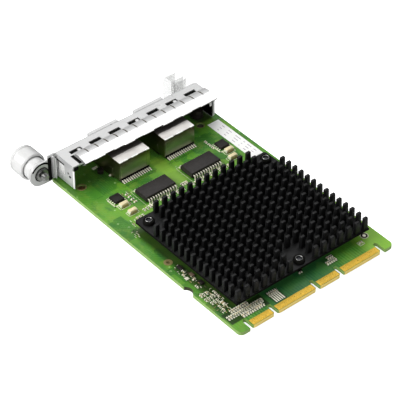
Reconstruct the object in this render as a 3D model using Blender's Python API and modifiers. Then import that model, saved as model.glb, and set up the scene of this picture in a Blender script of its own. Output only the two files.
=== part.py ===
"""Mezzanine network card for a server: a 76 mm wide board with a four-tab edge connector,
two low RJ45 jacks behind a sheet-metal bracket, and a cross-cut heat sink over the controller.

Card coordinates, used by every size below: X runs across the board from its left edge,
Y runs from the edge connector's leading edge to the faceplate, Z is up from the board's
component side. The empty card_frame moves all of it so that the world origin is the middle
of the card's outer box, at its lowest face.
"""
import math

import bmesh
import bpy
from mathutils import Matrix, Vector

MM = 0.001
CLEARANCE = 0.3 * MM
WELD = 0.005 * MM
FLAT_ANGLE = math.radians(0.5)
GRID_DIGITS = 7
CUT_MARGIN = 1.0 * MM

# Board
BOARD_WIDTH = 76.0 * MM
BOARD_LENGTH = 113.5 * MM
BOARD_THICKNESS = 1.57 * MM
EDGE_NOTCH_Y = 29.6 * MM
EDGE_NOTCH_HALF = 2.6 * MM
EDGE_NOTCH_DEPTH = 1.5 * MM
CORNER_RADIUS = 2.0 * MM
TOOLING_HOLE_INSETS = ((4.0 * MM, 46.4 * MM), (-5.3 * MM, 10.8 * MM))
TOOLING_HOLE_RADIUS = 1.1 * MM

# Edge connector
CONTACT_PITCH = 0.6 * MM
CONTACT_WIDTH = 0.36 * MM
CONTACT_LENGTH = 2.6 * MM
CONTACT_PROUD = 0.05 * MM
TAB_SHARES = (1, 2, 1, 2)
TAB_SIDE_MARGIN = 0.95 * MM
KEY_SLOT_WIDTH = 1.75 * MM
KEY_SLOT_DEPTH = 5.2 * MM
EAR_WIDTH = 4.6 * MM
TAB_BEVEL = 0.45 * MM
TAB_CORNER = 0.9 * MM

# Heat sink
SINK_PITCH_X = 4.2 * MM
SINK_PITCH_Y = 3.61 * MM
SINK_FIRST_X = 7.5 * MM
SINK_FIRST_Y = 10.45 * MM
SINK_MARGIN_RIGHT = 5.5 * MM
SINK_TO_FACEPLATE = 45.3 * MM
SINK_PIN_X = 2.3 * MM
SINK_PIN_Y = 1.5 * MM
SINK_PIN_HEIGHT = 4.1 * MM
SINK_PIN_TAPER = 0.82
SINK_PIN_SUNK = 0.4 * MM
SINK_BASE_THICKNESS = 2.1 * MM
SINK_CORNER_RADIUS = 1.3 * MM
SINK_REAR_COLUMNS_OPEN = 2
SINK_REAR_ROWS_OPEN = 3
SINK_FRONT_COLUMNS_OPEN = 2
SINK_FRONT_ROWS_OPEN = 3

# Controller and thermal pad under the heat sink
CONTROLLER_SIZE = 25.0 * MM
CONTROLLER_HEIGHT = 1.4 * MM
CONTROLLER_LID = 19.0 * MM
CONTROLLER_LID_HEIGHT = 0.5 * MM
PAD_SIZE = 20.0 * MM
PAD_THICKNESS = 0.5 * MM

# Push pins that hold the heat sink to the board
PUSH_PIN_INSET_X = 3.35 * MM
PUSH_PIN_INSET_REAR = 4.0 * MM
PUSH_PIN_INSET_FRONT = 2.8 * MM
PUSH_PIN_HEAD_RADIUS = 2.3 * MM
PUSH_PIN_HEAD_HEIGHT = 1.2 * MM
PUSH_PIN_SHANK_RADIUS = 1.1 * MM
PUSH_PIN_BARB_RADIUS = 1.9 * MM
PUSH_PIN_BARB_LENGTH = 1.25 * MM

# Bracket, bent from one sheet
SHEET = 0.8 * MM
BEND_RADIUS = 0.9 * MM
FACE_GAP = 0.3 * MM
BRACKET_INSET_LEFT = 2.3 * MM
BRACKET_INSET_RIGHT = 2.6 * MM
FACE_LEFT = -1.3 * MM
FACE_TOP = 11.5 * MM
FACE_BOTTOM = -3.4 * MM
TOP_FLANGE_DEPTH = 11.6 * MM
SIDE_FLANGE_DEPTH = 11.2 * MM
SIDE_FLANGE_BOTTOM = 0.6 * MM
WINDOW_FIRST_X = 9.4 * MM
WINDOW_PITCH = 9.6 * MM
WINDOW_MARGIN_RIGHT = 9.0 * MM
WINDOW_LENGTH = 5.6 * MM
WINDOW_WIDTH = 2.0 * MM
WINDOW_FROM_FACE = 3.8 * MM
SIDE_WINDOW_LENGTH = 5.0 * MM
SIDE_WINDOW_HEIGHT = 4.6 * MM
SIDE_WINDOW_FROM_FACE = 0.8 * MM
SIDE_WINDOW_Z = 3.9 * MM
SIDE_PINHOLE_RADIUS = 0.45 * MM
SIDE_PINHOLES = ((8.4 * MM, 6.4 * MM), (9.6 * MM, 5.3 * MM))
LIP_X = 0.1 * MM
LIP_WIDTH = 0.6 * MM
LIP_DEPTH = 1.3 * MM
BOARD_TAB_INSETS = ((5.5 * MM, 11.6 * MM), (-9.9 * MM, 11.1 * MM))
BOARD_TAB_WIDTH = 7.4 * MM
BOARD_TAB_END = 3.4 * MM
BOARD_SCREW_RADIUS = 1.25 * MM
BOARD_SCREW_HEAD_RADIUS = 2.1 * MM

# Ear and captive thumbscrew
SCREW_X = -4.6 * MM
SCREW_Z = 4.3 * MM
EAR_RADIUS = 5.4 * MM
FERRULE_RADIUS = 4.6 * MM
FERRULE_LENGTH = 5.4 * MM
FERRULE_STUB_RADIUS = 2.9 * MM
FERRULE_FLANGE = 1.2 * MM
KNOB_RADIUS = 6.0 * MM
KNOB_LENGTH = 8.6 * MM
KNOB_REACH = 4.9 * MM
KNOB_CAP = 2.6 * MM
KNOB_GROOVE = 0.35 * MM
SCREW_SHANK_RADIUS = 1.5 * MM
SCREW_GROOVE_RADIUS = 1.05 * MM
SCREW_TIP_LENGTH = 1.6 * MM
RING_RADIUS = 2.6 * MM
RING_THICKNESS = 0.5 * MM

# Pull tab, a bent strip outside the faceplate
PULL_TAB_INSET = 8.8 * MM
PULL_TAB_WIDTH = 6.4 * MM
PULL_TAB_REACH = 14.0 * MM
PULL_TAB_TOP = 10.6 * MM
PULL_TAB_BOTTOM = -2.2 * MM
PULL_TAB_SHEET = 0.9 * MM
PULL_TAB_BEND = 2.2 * MM
PULL_TAB_FOOT = 3.6 * MM
RIVET_RADIUS = 0.9 * MM
RIVET_HEAD_RADIUS = 1.5 * MM
RIVET_HEAD = 0.5 * MM

# Spring strips along the bracket's edges
STRIP_SHEET = 0.3 * MM
STRIP_PITCH = WINDOW_PITCH / 2
STRIP_SLIT = 0.5 * MM
STRIP_CROWN = 0.8 * MM
STRIP_ROOT_FROM_FACE = 5.3 * MM
STRIP_END_FROM_FACE = 13.1 * MM
STRIP_DROP = 1.9 * MM
HOOK_WIDTH = 1.6 * MM
HOOK_WINDOWS = (0, 3, 5)
BOTTOM_STRIP_DEPTH = 4.2 * MM

# RJ45 jacks
JACK_OFFSETS = (-11.5 * MM, 11.2 * MM)
JACK_WIDTH = 15.0 * MM
JACK_TOP = 9.3 * MM
JACK_BOTTOM = -2.6 * MM
JACK_DEPTH = 18.9 * MM
JACK_SUNK_DEPTH = 15.2 * MM
JACK_COLLAR = 1.2 * MM
JACK_COLLAR_WALL = 1.0 * MM
SHIELD_WALL = 0.35 * MM
PORT_WIDTH = 11.9 * MM
PORT_HEIGHT = 6.9 * MM
PORT_LATCH_WIDTH = 6.2 * MM
PORT_LATCH_HEIGHT = 1.7 * MM
PORT_BOTTOM = -1.3 * MM
PORT_DEPTH = 13.5 * MM
WIRE_COUNT = 8
WIRE_PITCH = 1.02 * MM
WIRE_WIDTH = 0.4 * MM
WIRE_RISE = 1.2 * MM
TAIL_COUNT = 14
TAIL_WIDTH = 0.45 * MM
TAIL_REACH = 1.5 * MM

# Line transformers, 24-lead packages behind the jacks
MAGNETICS_TO_FACEPLATE = 31.7 * MM
MAGNETICS_LENGTH = 14.9 * MM
MAGNETICS_WIDTH = 7.2 * MM
MAGNETICS_HEIGHT = 2.2 * MM
MAGNETICS_STANDOFF = 0.45 * MM
LEADS_PER_SIDE = 12
LEAD_PITCH = 1.2 * MM
LEAD_WIDTH = 0.45 * MM
LEAD_SPREAD = 1.5 * MM
LEAD_THICKNESS = 0.25 * MM

# Small parts on the board
CHIP_SIZE = 4.5 * MM
CHIP_HEIGHT = 1.1 * MM
SIDE_CHIPS = (("left", 0.64, 26.3 * MM), ("right", 0.77, 26.6 * MM))
CAPACITOR_SIZE = (3.4 * MM, 1.8 * MM, 1.5 * MM)
CAPACITOR_END = 0.7 * MM
SIDE_CAPACITORS = (
    ("left", 0.62, 30.9 * MM),
    ("left", 0.63, 36.1 * MM),
    ("right", 0.72, 31.1 * MM),
    ("right", 0.52, 35.3 * MM),
)
LABEL_INSET = (7.7 * MM, 40.5 * MM)
LABEL_SIZE = (5.7 * MM, 27.6 * MM)
LABEL_THICKNESS = 0.12 * MM
LABEL_GAP = 0.05 * MM
PASSIVE_SIZE = (0.55 * MM, 1.1 * MM, 0.5 * MM)
PASSIVE_ROWS = (
    (3.4 * MM, 8.2 * MM, 14, 1.05 * MM, 0.0),
    (3.5 * MM, 36.4 * MM, 2, 1.3 * MM, 1.9 * MM),
    (1.3 * MM, 23.6 * MM, 3, 1.3 * MM, 0.0),
    (1.3 * MM, 20.8 * MM, 4, 1.3 * MM, 0.0),
    (2.0 * MM, 18.2 * MM, 3, 1.3 * MM, 0.0),
    (3.0 * MM, 12.8 * MM, 2, 0.0, 2.2 * MM),
    (20.9 * MM, 8.4 * MM, 5, 0.92 * MM, 0.0),
    (48.9 * MM, 7.4 * MM, 5, 1.0 * MM, 0.0),
)
FAR_PASSIVE_ROW = (15.6 * MM, 38.5 * MM, 5, 1.5 * MM, 0.0)


def from_left_or_right(inset):
    """X of a place given from the left edge, or from the right edge when it is negative."""
    return inset if inset > 0 else BOARD_WIDTH + inset


def from_corner(insets):
    """Places given by X inset and Y, with X from the nearer side edge."""
    return tuple((from_left_or_right(x), y) for x, y in insets)


def from_far_corner(insets):
    """Places given by X inset and by their distance from the board's far end."""
    return tuple((from_left_or_right(x), BOARD_LENGTH - y) for x, y in insets)


# Derived places
FACE_INNER_Y = BOARD_LENGTH + FACE_GAP
FACE_OUTER_Y = FACE_INNER_Y + SHEET
TOOLING_HOLES = from_corner(TOOLING_HOLE_INSETS)
CONNECTOR_ROOM = BOARD_WIDTH - 2 * EAR_WIDTH - (len(TAB_SHARES) + 1) * KEY_SLOT_WIDTH
CONTACT_ROOM = CONNECTOR_ROOM - 2 * len(TAB_SHARES) * TAB_SIDE_MARGIN
CONTACTS_PER_SHARE = round(CONTACT_ROOM / CONTACT_PITCH / sum(TAB_SHARES))
TAB_CONTACTS = tuple(round(share * CONTACTS_PER_SHARE) for share in TAB_SHARES)
TAB_WIDTHS = tuple(count * CONTACT_PITCH + 2 * TAB_SIDE_MARGIN for count in TAB_CONTACTS)
TABS_TOTAL = sum(TAB_WIDTHS) + (len(TAB_WIDTHS) - 1) * KEY_SLOT_WIDTH
FIRST_TAB_X = (BOARD_WIDTH - TABS_TOTAL) / 2
SINK_COLUMNS = 1 + round((BOARD_WIDTH - SINK_FIRST_X - SINK_MARGIN_RIGHT) / SINK_PITCH_X)
SINK_ROWS = 1 + round((BOARD_LENGTH - SINK_FIRST_Y - SINK_TO_FACEPLATE) / SINK_PITCH_Y)
BRACKET_LEFT = BRACKET_INSET_LEFT
BRACKET_RIGHT = BOARD_WIDTH - BRACKET_INSET_RIGHT
WINDOW_COUNT = 1 + round((BOARD_WIDTH - WINDOW_FIRST_X - WINDOW_MARGIN_RIGHT) / WINDOW_PITCH)
BOARD_TABS = from_far_corner(BOARD_TAB_INSETS)
PULL_TAB_X = BOARD_WIDTH - PULL_TAB_INSET
JACK_CENTRES = tuple(BOARD_WIDTH / 2 + offset for offset in JACK_OFFSETS)
JACK_REAR_Y = FACE_INNER_Y - JACK_DEPTH
JACK_SUNK_Y = FACE_INNER_Y - JACK_SUNK_DEPTH
TAIL_ROOM = JACK_WIDTH - 2 * SHIELD_WALL - 2 * CLEARANCE
TAIL_PITCH = (TAIL_ROOM - TAIL_WIDTH) / (TAIL_COUNT - 1)
MAGNETICS_Y = BOARD_LENGTH - MAGNETICS_TO_FACEPLATE
LABEL_LOW = (BOARD_WIDTH - LABEL_INSET[0], BOARD_LENGTH - LABEL_INSET[1])
SIDE_ROOM = {
    "left": (0.0, JACK_CENTRES[0] - MAGNETICS_LENGTH / 2),
    "right": (JACK_CENTRES[1] + MAGNETICS_LENGTH / 2, LABEL_LOW[0]),
}


def beside_magnetics(places, length):
    """Centres of parts of one length, shared out in the free room on each side."""
    centres = []
    for side, share, from_far_end in places:
        low, high = SIDE_ROOM[side]
        x = low + length / 2 + share * (high - low - length)
        centres.append((x, BOARD_LENGTH - from_far_end))
    return tuple(centres)


CHIP_CENTRES = beside_magnetics(SIDE_CHIPS, CHIP_SIZE)
CAPACITOR_CENTRES = beside_magnetics(SIDE_CAPACITORS, CAPACITOR_SIZE[0])
PASSIVE_PLACES = (
    *PASSIVE_ROWS,
    (FAR_PASSIVE_ROW[0], BOARD_LENGTH - FAR_PASSIVE_ROW[1], *FAR_PASSIVE_ROW[2:]),
)
SINK_LEFT = SINK_FIRST_X - SINK_PIN_X / 2
SINK_RIGHT = SINK_FIRST_X + (SINK_COLUMNS - 1) * SINK_PITCH_X + SINK_PIN_X / 2
SINK_NEAR = SINK_FIRST_Y - SINK_PIN_Y / 2
SINK_FAR = SINK_FIRST_Y + (SINK_ROWS - 1) * SINK_PITCH_Y + SINK_PIN_Y / 2
SINK_CENTRE_X = (SINK_LEFT + SINK_RIGHT) / 2
CONTROLLER_TOP = CLEARANCE + CONTROLLER_HEIGHT + CONTROLLER_LID_HEIGHT
PAD_TOP = CONTROLLER_TOP + CLEARANCE + PAD_THICKNESS
SINK_BOTTOM = PAD_TOP + CLEARANCE
SINK_BASE_TOP = SINK_BOTTOM + SINK_BASE_THICKNESS
KNOB_REAR_Y = FACE_OUTER_Y + KNOB_REACH
KNOB_FRONT_Y = KNOB_REAR_Y + KNOB_LENGTH
JACK_FRONT_Y = FACE_OUTER_Y + JACK_COLLAR
PULL_TAB_OUTER_Y = FACE_OUTER_Y + PULL_TAB_REACH
BOARD_TAB_TOP = -BOARD_THICKNESS - CLEARANCE

BOX_LOW = Vector((min(SCREW_X - KNOB_RADIUS, SCREW_X - EAR_RADIUS), 0.0, FACE_BOTTOM))
BOX_HIGH = Vector((BOARD_WIDTH, max(KNOB_FRONT_Y, PULL_TAB_OUTER_Y), FACE_TOP))
CARD_OFFSET = Vector((
    -(BOX_LOW.x + BOX_HIGH.x) / 2,
    -(BOX_LOW.y + BOX_HIGH.y) / 2,
    -BOX_LOW.z,
))

# Colour, roughness and metallic value of each finish
FINISHES = {
    "board_green": ((0.05, 0.33, 0.07), 0.35, 0.0),
    "black_anodised": ((0.015, 0.015, 0.017), 0.42, 0.6),
    "bright_steel": ((0.78, 0.78, 0.77), 0.25, 1.0),
    "dark_steel": ((0.12, 0.12, 0.125), 0.35, 1.0),
    "nickel_sheet": ((0.82, 0.82, 0.81), 0.3, 1.0),
    "spring_steel": ((0.86, 0.86, 0.85), 0.28, 1.0),
    "shield_chrome": ((0.85, 0.85, 0.84), 0.12, 1.0),
    "black_plastic": ((0.02, 0.02, 0.022), 0.5, 0.0),
    "pale_plastic": ((0.85, 0.86, 0.85), 0.35, 0.0),
    "package_black": ((0.03, 0.03, 0.034), 0.55, 0.0),
    "tan_ceramic": ((0.62, 0.47, 0.26), 0.5, 0.0),
    "gold": ((0.83, 0.6, 0.2), 0.25, 1.0),
    "paper_white": ((0.9, 0.9, 0.88), 0.6, 0.0),
    "thermal_grey": ((0.45, 0.47, 0.5), 0.8, 0.0),
}


def clear_scene():
    for existing in list(bpy.data.objects):
        bpy.data.objects.remove(existing, do_unlink=True)


def new_collection(name):
    collection = bpy.data.collections.new(name)
    bpy.context.scene.collection.children.link(collection)
    return collection


clear_scene()
CARD = new_collection("mezzanine_network_card")
CUTTERS = new_collection("card_cutters")
CARD_FRAME = bpy.data.objects.new("card_frame", None)
CARD_FRAME.location = CARD_OFFSET
CARD.objects.link(CARD_FRAME)


def finish_material(finish):
    """The named finish as a Principled material, made once."""
    if finish in bpy.data.materials:
        return bpy.data.materials[finish]
    colour, roughness, metallic = FINISHES[finish]
    material = bpy.data.materials.new(finish)
    material.use_nodes = True
    shader = material.node_tree.nodes["Principled BSDF"]
    shader.inputs["Base Color"].default_value = (*colour, 1.0)
    shader.inputs["Roughness"].default_value = roughness
    shader.inputs["Metallic"].default_value = metallic
    return material


def add_part(name, mesh, finish, place=Matrix.Identity(4)):
    """A piece of the card, carried by card_frame."""
    part = bpy.data.objects.new(name, mesh)
    mesh.materials.clear()
    mesh.materials.append(finish_material(finish))
    CARD.objects.link(part)
    part.parent = CARD_FRAME
    part.matrix_local = place
    return part


def add_cutter(name, mesh, place=Matrix.Identity(4)):
    """A shape that is only cut from, or joined to, a piece."""
    cutter = bpy.data.objects.new(name, mesh)
    CUTTERS.objects.link(cutter)
    cutter.parent = CARD_FRAME
    cutter.matrix_local = place
    cutter.hide_render = True
    cutter.display_type = "WIRE"
    return cutter


def combine(part, tool, operation):
    modifier = part.modifiers.new(tool.name, "BOOLEAN")
    modifier.operation = operation
    modifier.solver = "EXACT"
    modifier.use_self = True
    modifier.object = tool


def cut(part, name, mesh, place=Matrix.Identity(4)):
    combine(part, add_cutter(name, mesh, place), "DIFFERENCE")


def join(part, name, mesh, place=Matrix.Identity(4)):
    combine(part, add_cutter(name, mesh, place), "UNION")


def settle(bm, mesh):
    """Write the mesh welded, facing outward, and rounded so that flush faces meet exactly."""
    bmesh.ops.remove_doubles(bm, verts=bm.verts, dist=WELD)
    for vert in bm.verts:
        vert.co = [round(value, GRID_DIGITS) for value in vert.co]
    bmesh.ops.recalc_face_normals(bm, faces=bm.faces)
    bm.to_mesh(mesh)
    bm.free()
    return mesh


def boxes(name, spans, taper=1.0):
    """Boxes given by their low and high corners; taper narrows each top face."""
    bm = bmesh.new()
    for low, high in spans:
        low, high = Vector(low), Vector(high)
        made = bmesh.ops.create_cube(bm, size=1.0)
        verts = made["verts"]
        top = [vert for vert in verts if vert.co.z > 0]
        bmesh.ops.scale(bm, vec=(taper, taper, 1.0), verts=top)
        bmesh.ops.scale(bm, vec=high - low, verts=verts)
        bmesh.ops.translate(bm, vec=(low + high) / 2, verts=verts)
    return settle(bm, bpy.data.meshes.new(name))


def arc(centre, radius, start, end, steps):
    """Points of an arc in a plane, angles in degrees."""
    points = []
    for step in range(steps + 1):
        angle = math.radians(start + (end - start) * step / steps)
        points.append((centre[0] + radius * math.cos(angle), centre[1] + radius * math.sin(angle)))
    return points


def circle(centre, radius, steps):
    return arc(centre, radius, 0, 360, steps)[:-1]


def rectangle(low, high):
    return [(low[0], low[1]), (high[0], low[1]), (high[0], high[1]), (low[0], high[1])]


def plate(name, outlines, bottom, top):
    """A flat plate between two heights, from an outline and its holes."""
    curve = bpy.data.curves.new(name, "CURVE")
    curve.dimensions = "2D"
    curve.fill_mode = "BOTH"
    curve.extrude = (top - bottom) / 2
    for outline in outlines:
        spline = curve.splines.new("POLY")
        spline.points.add(len(outline) - 1)
        spline.use_cyclic_u = True
        for point, (x, y) in zip(spline.points, outline):
            point.co = (x, y, 0.0, 1.0)
    holder = bpy.data.objects.new(name, curve)
    CUTTERS.objects.link(holder)
    graph = bpy.context.evaluated_depsgraph_get()
    mesh = bpy.data.meshes.new_from_object(holder.evaluated_get(graph))
    bpy.data.objects.remove(holder, do_unlink=True)
    bpy.data.curves.remove(curve)
    bm = bmesh.new()
    bm.from_mesh(mesh)
    bmesh.ops.remove_doubles(bm, verts=bm.verts, dist=WELD)
    bmesh.ops.translate(bm, vec=(0, 0, (top + bottom) / 2), verts=bm.verts)
    flat = [edge for edge in bm.edges if edge.is_manifold and edge.calc_face_angle() < FLAT_ANGLE]
    bmesh.ops.dissolve_limit(bm, angle_limit=FLAT_ANGLE, verts=[], edges=flat)
    mesh.name = name
    return settle(bm, mesh)


# Outlines drawn as (X, Z) and thick along -Y, or drawn as (Y, Z) and thick along X.
UPRIGHT_XZ = Matrix(((1, 0, 0, 0), (0, 0, -1, 0), (0, 1, 0, 0), (0, 0, 0, 1)))
UPRIGHT_YZ = Matrix(((0, 0, 1, 0), (1, 0, 0, 0), (0, 1, 0, 0), (0, 0, 0, 1)))
SCREW_AXIS = Matrix.Translation((SCREW_X, 0, SCREW_Z)) @ Matrix.Rotation(math.radians(-90), 4, "X")


def turned(name, profile, segments, closed=False):
    """A solid turned about Z from (radius, height) points that run down the outer side."""
    bm = bmesh.new()
    verts = [bm.verts.new((radius, 0, height)) for radius, height in profile]
    pairs = list(zip(verts, verts[1:]))
    if closed:
        pairs.append((verts[-1], verts[0]))
    for first, second in pairs:
        bm.edges.new((first, second))
    mesh = bpy.data.meshes.new(name)
    bm.to_mesh(mesh)
    bm.free()
    holder = bpy.data.objects.new(name, mesh)
    CUTTERS.objects.link(holder)
    screw = holder.modifiers.new("turn", "SCREW")
    screw.steps = segments
    screw.render_steps = segments
    screw.use_merge_vertices = True
    screw.merge_threshold = WELD
    graph = bpy.context.evaluated_depsgraph_get()
    solid = bpy.data.meshes.new_from_object(holder.evaluated_get(graph))
    bpy.data.objects.remove(holder, do_unlink=True)
    bm = bmesh.new()
    bm.from_mesh(solid)
    settle(bm, solid)
    solid.name = name
    solid.shade_smooth()
    solid.set_sharp_from_angle(angle=math.radians(35))
    return solid


def bent_sheet(name, path, start_x, end_x, thickness):
    """A sheet whose section is the (Y, Z) path, run along X and thickened on its left side."""
    bm = bmesh.new()
    verts = [bm.verts.new((start_x, y, z)) for y, z in path]
    edges = [bm.edges.new(pair) for pair in zip(verts, verts[1:])]
    swept = bmesh.ops.extrude_edge_only(bm, edges=edges)
    moved = [item for item in swept["geom"] if isinstance(item, bmesh.types.BMVert)]
    bmesh.ops.translate(bm, vec=(end_x - start_x, 0, 0), verts=moved)
    mesh = bpy.data.meshes.new(name)
    bm.to_mesh(mesh)
    bm.free()
    holder = bpy.data.objects.new(name, mesh)
    CUTTERS.objects.link(holder)
    solidify = holder.modifiers.new("sheet", "SOLIDIFY")
    solidify.thickness = thickness
    solidify.offset = 1.0
    solidify.use_even_offset = True
    graph = bpy.context.evaluated_depsgraph_get()
    solid = bpy.data.meshes.new_from_object(holder.evaluated_get(graph))
    bpy.data.objects.remove(holder, do_unlink=True)
    bm = bmesh.new()
    bm.from_mesh(solid)
    solid.name = name
    return settle(bm, solid)


def tab_spans():
    """Low and high X of each connector tab."""
    spans = []
    left = FIRST_TAB_X
    for width in TAB_WIDTHS:
        spans.append((left, left + width))
        left += width + KEY_SLOT_WIDTH
    return spans


def slot_bottom(left):
    """The round end of a key slot, walked from its left side to its right side."""
    radius = KEY_SLOT_WIDTH / 2
    return arc((left + radius, KEY_SLOT_DEPTH - radius), radius, 180, 0, 6)


def board_outline():
    spans = tab_spans()
    first_slot = spans[0][0] - KEY_SLOT_WIDTH
    outline = arc((CORNER_RADIUS, CORNER_RADIUS), CORNER_RADIUS, 180, 270, 4)
    outline += [(first_slot, 0.0)] + slot_bottom(first_slot)
    for left, right in spans:
        outline += [(left, TAB_CORNER), (left + TAB_CORNER, 0.0)]
        outline += [(right - TAB_CORNER, 0.0), (right, TAB_CORNER)]
        outline += slot_bottom(right)
    outline.append((spans[-1][1] + KEY_SLOT_WIDTH, 0.0))
    outline += arc((BOARD_WIDTH - CORNER_RADIUS, CORNER_RADIUS), CORNER_RADIUS, 270, 360, 4)
    outline.append((BOARD_WIDTH, BOARD_LENGTH))
    for centre in reversed(JACK_CENTRES):
        half = JACK_WIDTH / 2 + CLEARANCE
        near = JACK_SUNK_Y - CLEARANCE
        outline += [(centre + half, BOARD_LENGTH), (centre + half, near)]
        outline += [(centre - half, near), (centre - half, BOARD_LENGTH)]
    outline.append((0.0, BOARD_LENGTH))
    notch_radius = (EDGE_NOTCH_HALF ** 2 + EDGE_NOTCH_DEPTH ** 2) / (2 * EDGE_NOTCH_DEPTH)
    reach = math.degrees(math.asin(EDGE_NOTCH_HALF / notch_radius))
    notch_centre = (EDGE_NOTCH_DEPTH - notch_radius, EDGE_NOTCH_Y)
    outline += arc(notch_centre, notch_radius, reach, -reach, 6)
    return outline


def contact_spans():
    """Boxes of the contacts on the upper side, slightly let into the board."""
    spans = []
    for (left, _), count in zip(tab_spans(), TAB_CONTACTS):
        for index in range(count):
            middle = left + TAB_SIDE_MARGIN + (index + 0.5) * CONTACT_PITCH
            low = (middle - CONTACT_WIDTH / 2, TAB_BEVEL + CLEARANCE, -CONTACT_PROUD)
            high = (middle + CONTACT_WIDTH / 2, TAB_BEVEL + CLEARANCE + CONTACT_LENGTH, CONTACT_PROUD)
            spans.append((low, high))
    return spans


def passive_spans():
    """Small soldered parts, let into the board's face by half their height."""
    width, length, height = PASSIVE_SIZE
    spans = []
    for start_x, start_y, count, step_x, step_y in PASSIVE_PLACES:
        for index in range(round(count)):
            x = start_x + index * step_x
            y = start_y + index * step_y
            spans.append(((x, y, -height / 2), (x + width, y + length, height)))
    return spans


def push_pin_places():
    return (
        (SINK_LEFT + PUSH_PIN_INSET_X, SINK_FAR - PUSH_PIN_INSET_REAR),
        (SINK_RIGHT - PUSH_PIN_INSET_X, SINK_FAR - PUSH_PIN_INSET_REAR),
        (SINK_CENTRE_X, SINK_NEAR + PUSH_PIN_INSET_FRONT),
    )


def make_board():
    holes = [circle(place, TOOLING_HOLE_RADIUS, 16) for place in TOOLING_HOLES]
    holes += [circle(place, PUSH_PIN_SHANK_RADIUS + CLEARANCE, 16) for place in push_pin_places()]
    holes += [circle(place, BOARD_SCREW_RADIUS + CLEARANCE, 16) for place in BOARD_TABS]
    mesh = plate("circuit_board", [board_outline()] + holes, -BOARD_THICKNESS, 0.0)
    board = add_part("circuit_board", mesh, "board_green")
    wedge = [(-CUT_MARGIN, CUT_MARGIN), (-CUT_MARGIN, -TAB_BEVEL), (0.0, -TAB_BEVEL)]
    wedge += [(TAB_BEVEL, 0.0), (TAB_BEVEL, CUT_MARGIN)]
    low_x, high_x = tab_spans()[0][0] - KEY_SLOT_WIDTH / 2, tab_spans()[-1][1] + KEY_SLOT_WIDTH / 2
    cut(board, "upper_bevel", plate("upper_bevel", [wedge], low_x, high_x), UPRIGHT_YZ)
    lower = [(y, -BOARD_THICKNESS - z) for y, z in reversed(wedge)]
    cut(board, "lower_bevel", plate("lower_bevel", [lower], low_x, high_x), UPRIGHT_YZ)
    join(board, "contacts", boxes("contacts", contact_spans()))
    join(board, "passives", boxes("passives", passive_spans()))
    return board


def pin_is_left_out(column, row):
    """No pins stand over the push pins."""
    mirrored = min(column, SINK_COLUMNS - 1 - column)
    if mirrored < SINK_REAR_COLUMNS_OPEN and row >= SINK_ROWS - SINK_REAR_ROWS_OPEN:
        return True
    from_middle = abs(column - (SINK_COLUMNS - 1) / 2)
    return from_middle < SINK_FRONT_COLUMNS_OPEN / 2 and row < SINK_FRONT_ROWS_OPEN


def sink_pin_spans():
    spans = []
    for row in range(SINK_ROWS):
        for column in range(SINK_COLUMNS):
            if pin_is_left_out(column, row):
                continue
            x = SINK_FIRST_X + column * SINK_PITCH_X
            y = SINK_FIRST_Y + row * SINK_PITCH_Y
            low = (x - SINK_PIN_X / 2, y - SINK_PIN_Y / 2, SINK_BASE_TOP - SINK_PIN_SUNK)
            high = (x + SINK_PIN_X / 2, y + SINK_PIN_Y / 2, SINK_BASE_TOP + SINK_PIN_HEIGHT)
            spans.append((low, high))
    return spans


def make_heatsink():
    """A base plate with round rear corners and a field of tapered pins."""
    radius = SINK_CORNER_RADIUS
    low = (SINK_LEFT - CLEARANCE, SINK_NEAR - CLEARANCE)
    high = (SINK_RIGHT + CLEARANCE, SINK_FAR + CLEARANCE)
    outline = [low, (high[0], low[1])]
    outline += arc((high[0] - radius, high[1] - radius), radius, 0, 90, 5)
    outline += arc((low[0] + radius, high[1] - radius), radius, 90, 180, 5)
    holes = [circle(place, PUSH_PIN_SHANK_RADIUS + CLEARANCE, 16) for place in push_pin_places()]
    base = plate("heatsink", [outline] + holes, SINK_BOTTOM, SINK_BASE_TOP)
    heatsink = add_part("heatsink", base, "black_anodised")
    join(heatsink, "sink_pins", boxes("sink_pins", sink_pin_spans(), SINK_PIN_TAPER))
    return heatsink


def make_controller():
    centre = Vector((SINK_CENTRE_X, (SINK_NEAR + SINK_FAR) / 2, 0))
    sizes = (CONTROLLER_SIZE, CONTROLLER_LID, PAD_SIZE)
    body, lid, pad = (Vector((size / 2, size / 2, 0)) for size in sizes)
    body_low, body_high = centre - body, centre + body
    body_low.z, body_high.z = CLEARANCE, CLEARANCE + CONTROLLER_HEIGHT
    lid_low, lid_high = centre - lid, centre + lid
    lid_low.z, lid_high.z = CLEARANCE + CONTROLLER_HEIGHT / 2, CONTROLLER_TOP
    chip = add_part("controller_chip", boxes("controller_chip", [(body_low, body_high)]), "package_black")
    join(chip, "controller_lid", boxes("controller_lid", [(lid_low, lid_high)]))
    pad_low, pad_high = centre - pad, centre + pad
    pad_low.z, pad_high.z = CONTROLLER_TOP + CLEARANCE, PAD_TOP
    add_part("thermal_pad", boxes("thermal_pad", [(pad_low, pad_high)]), "thermal_grey")


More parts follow.
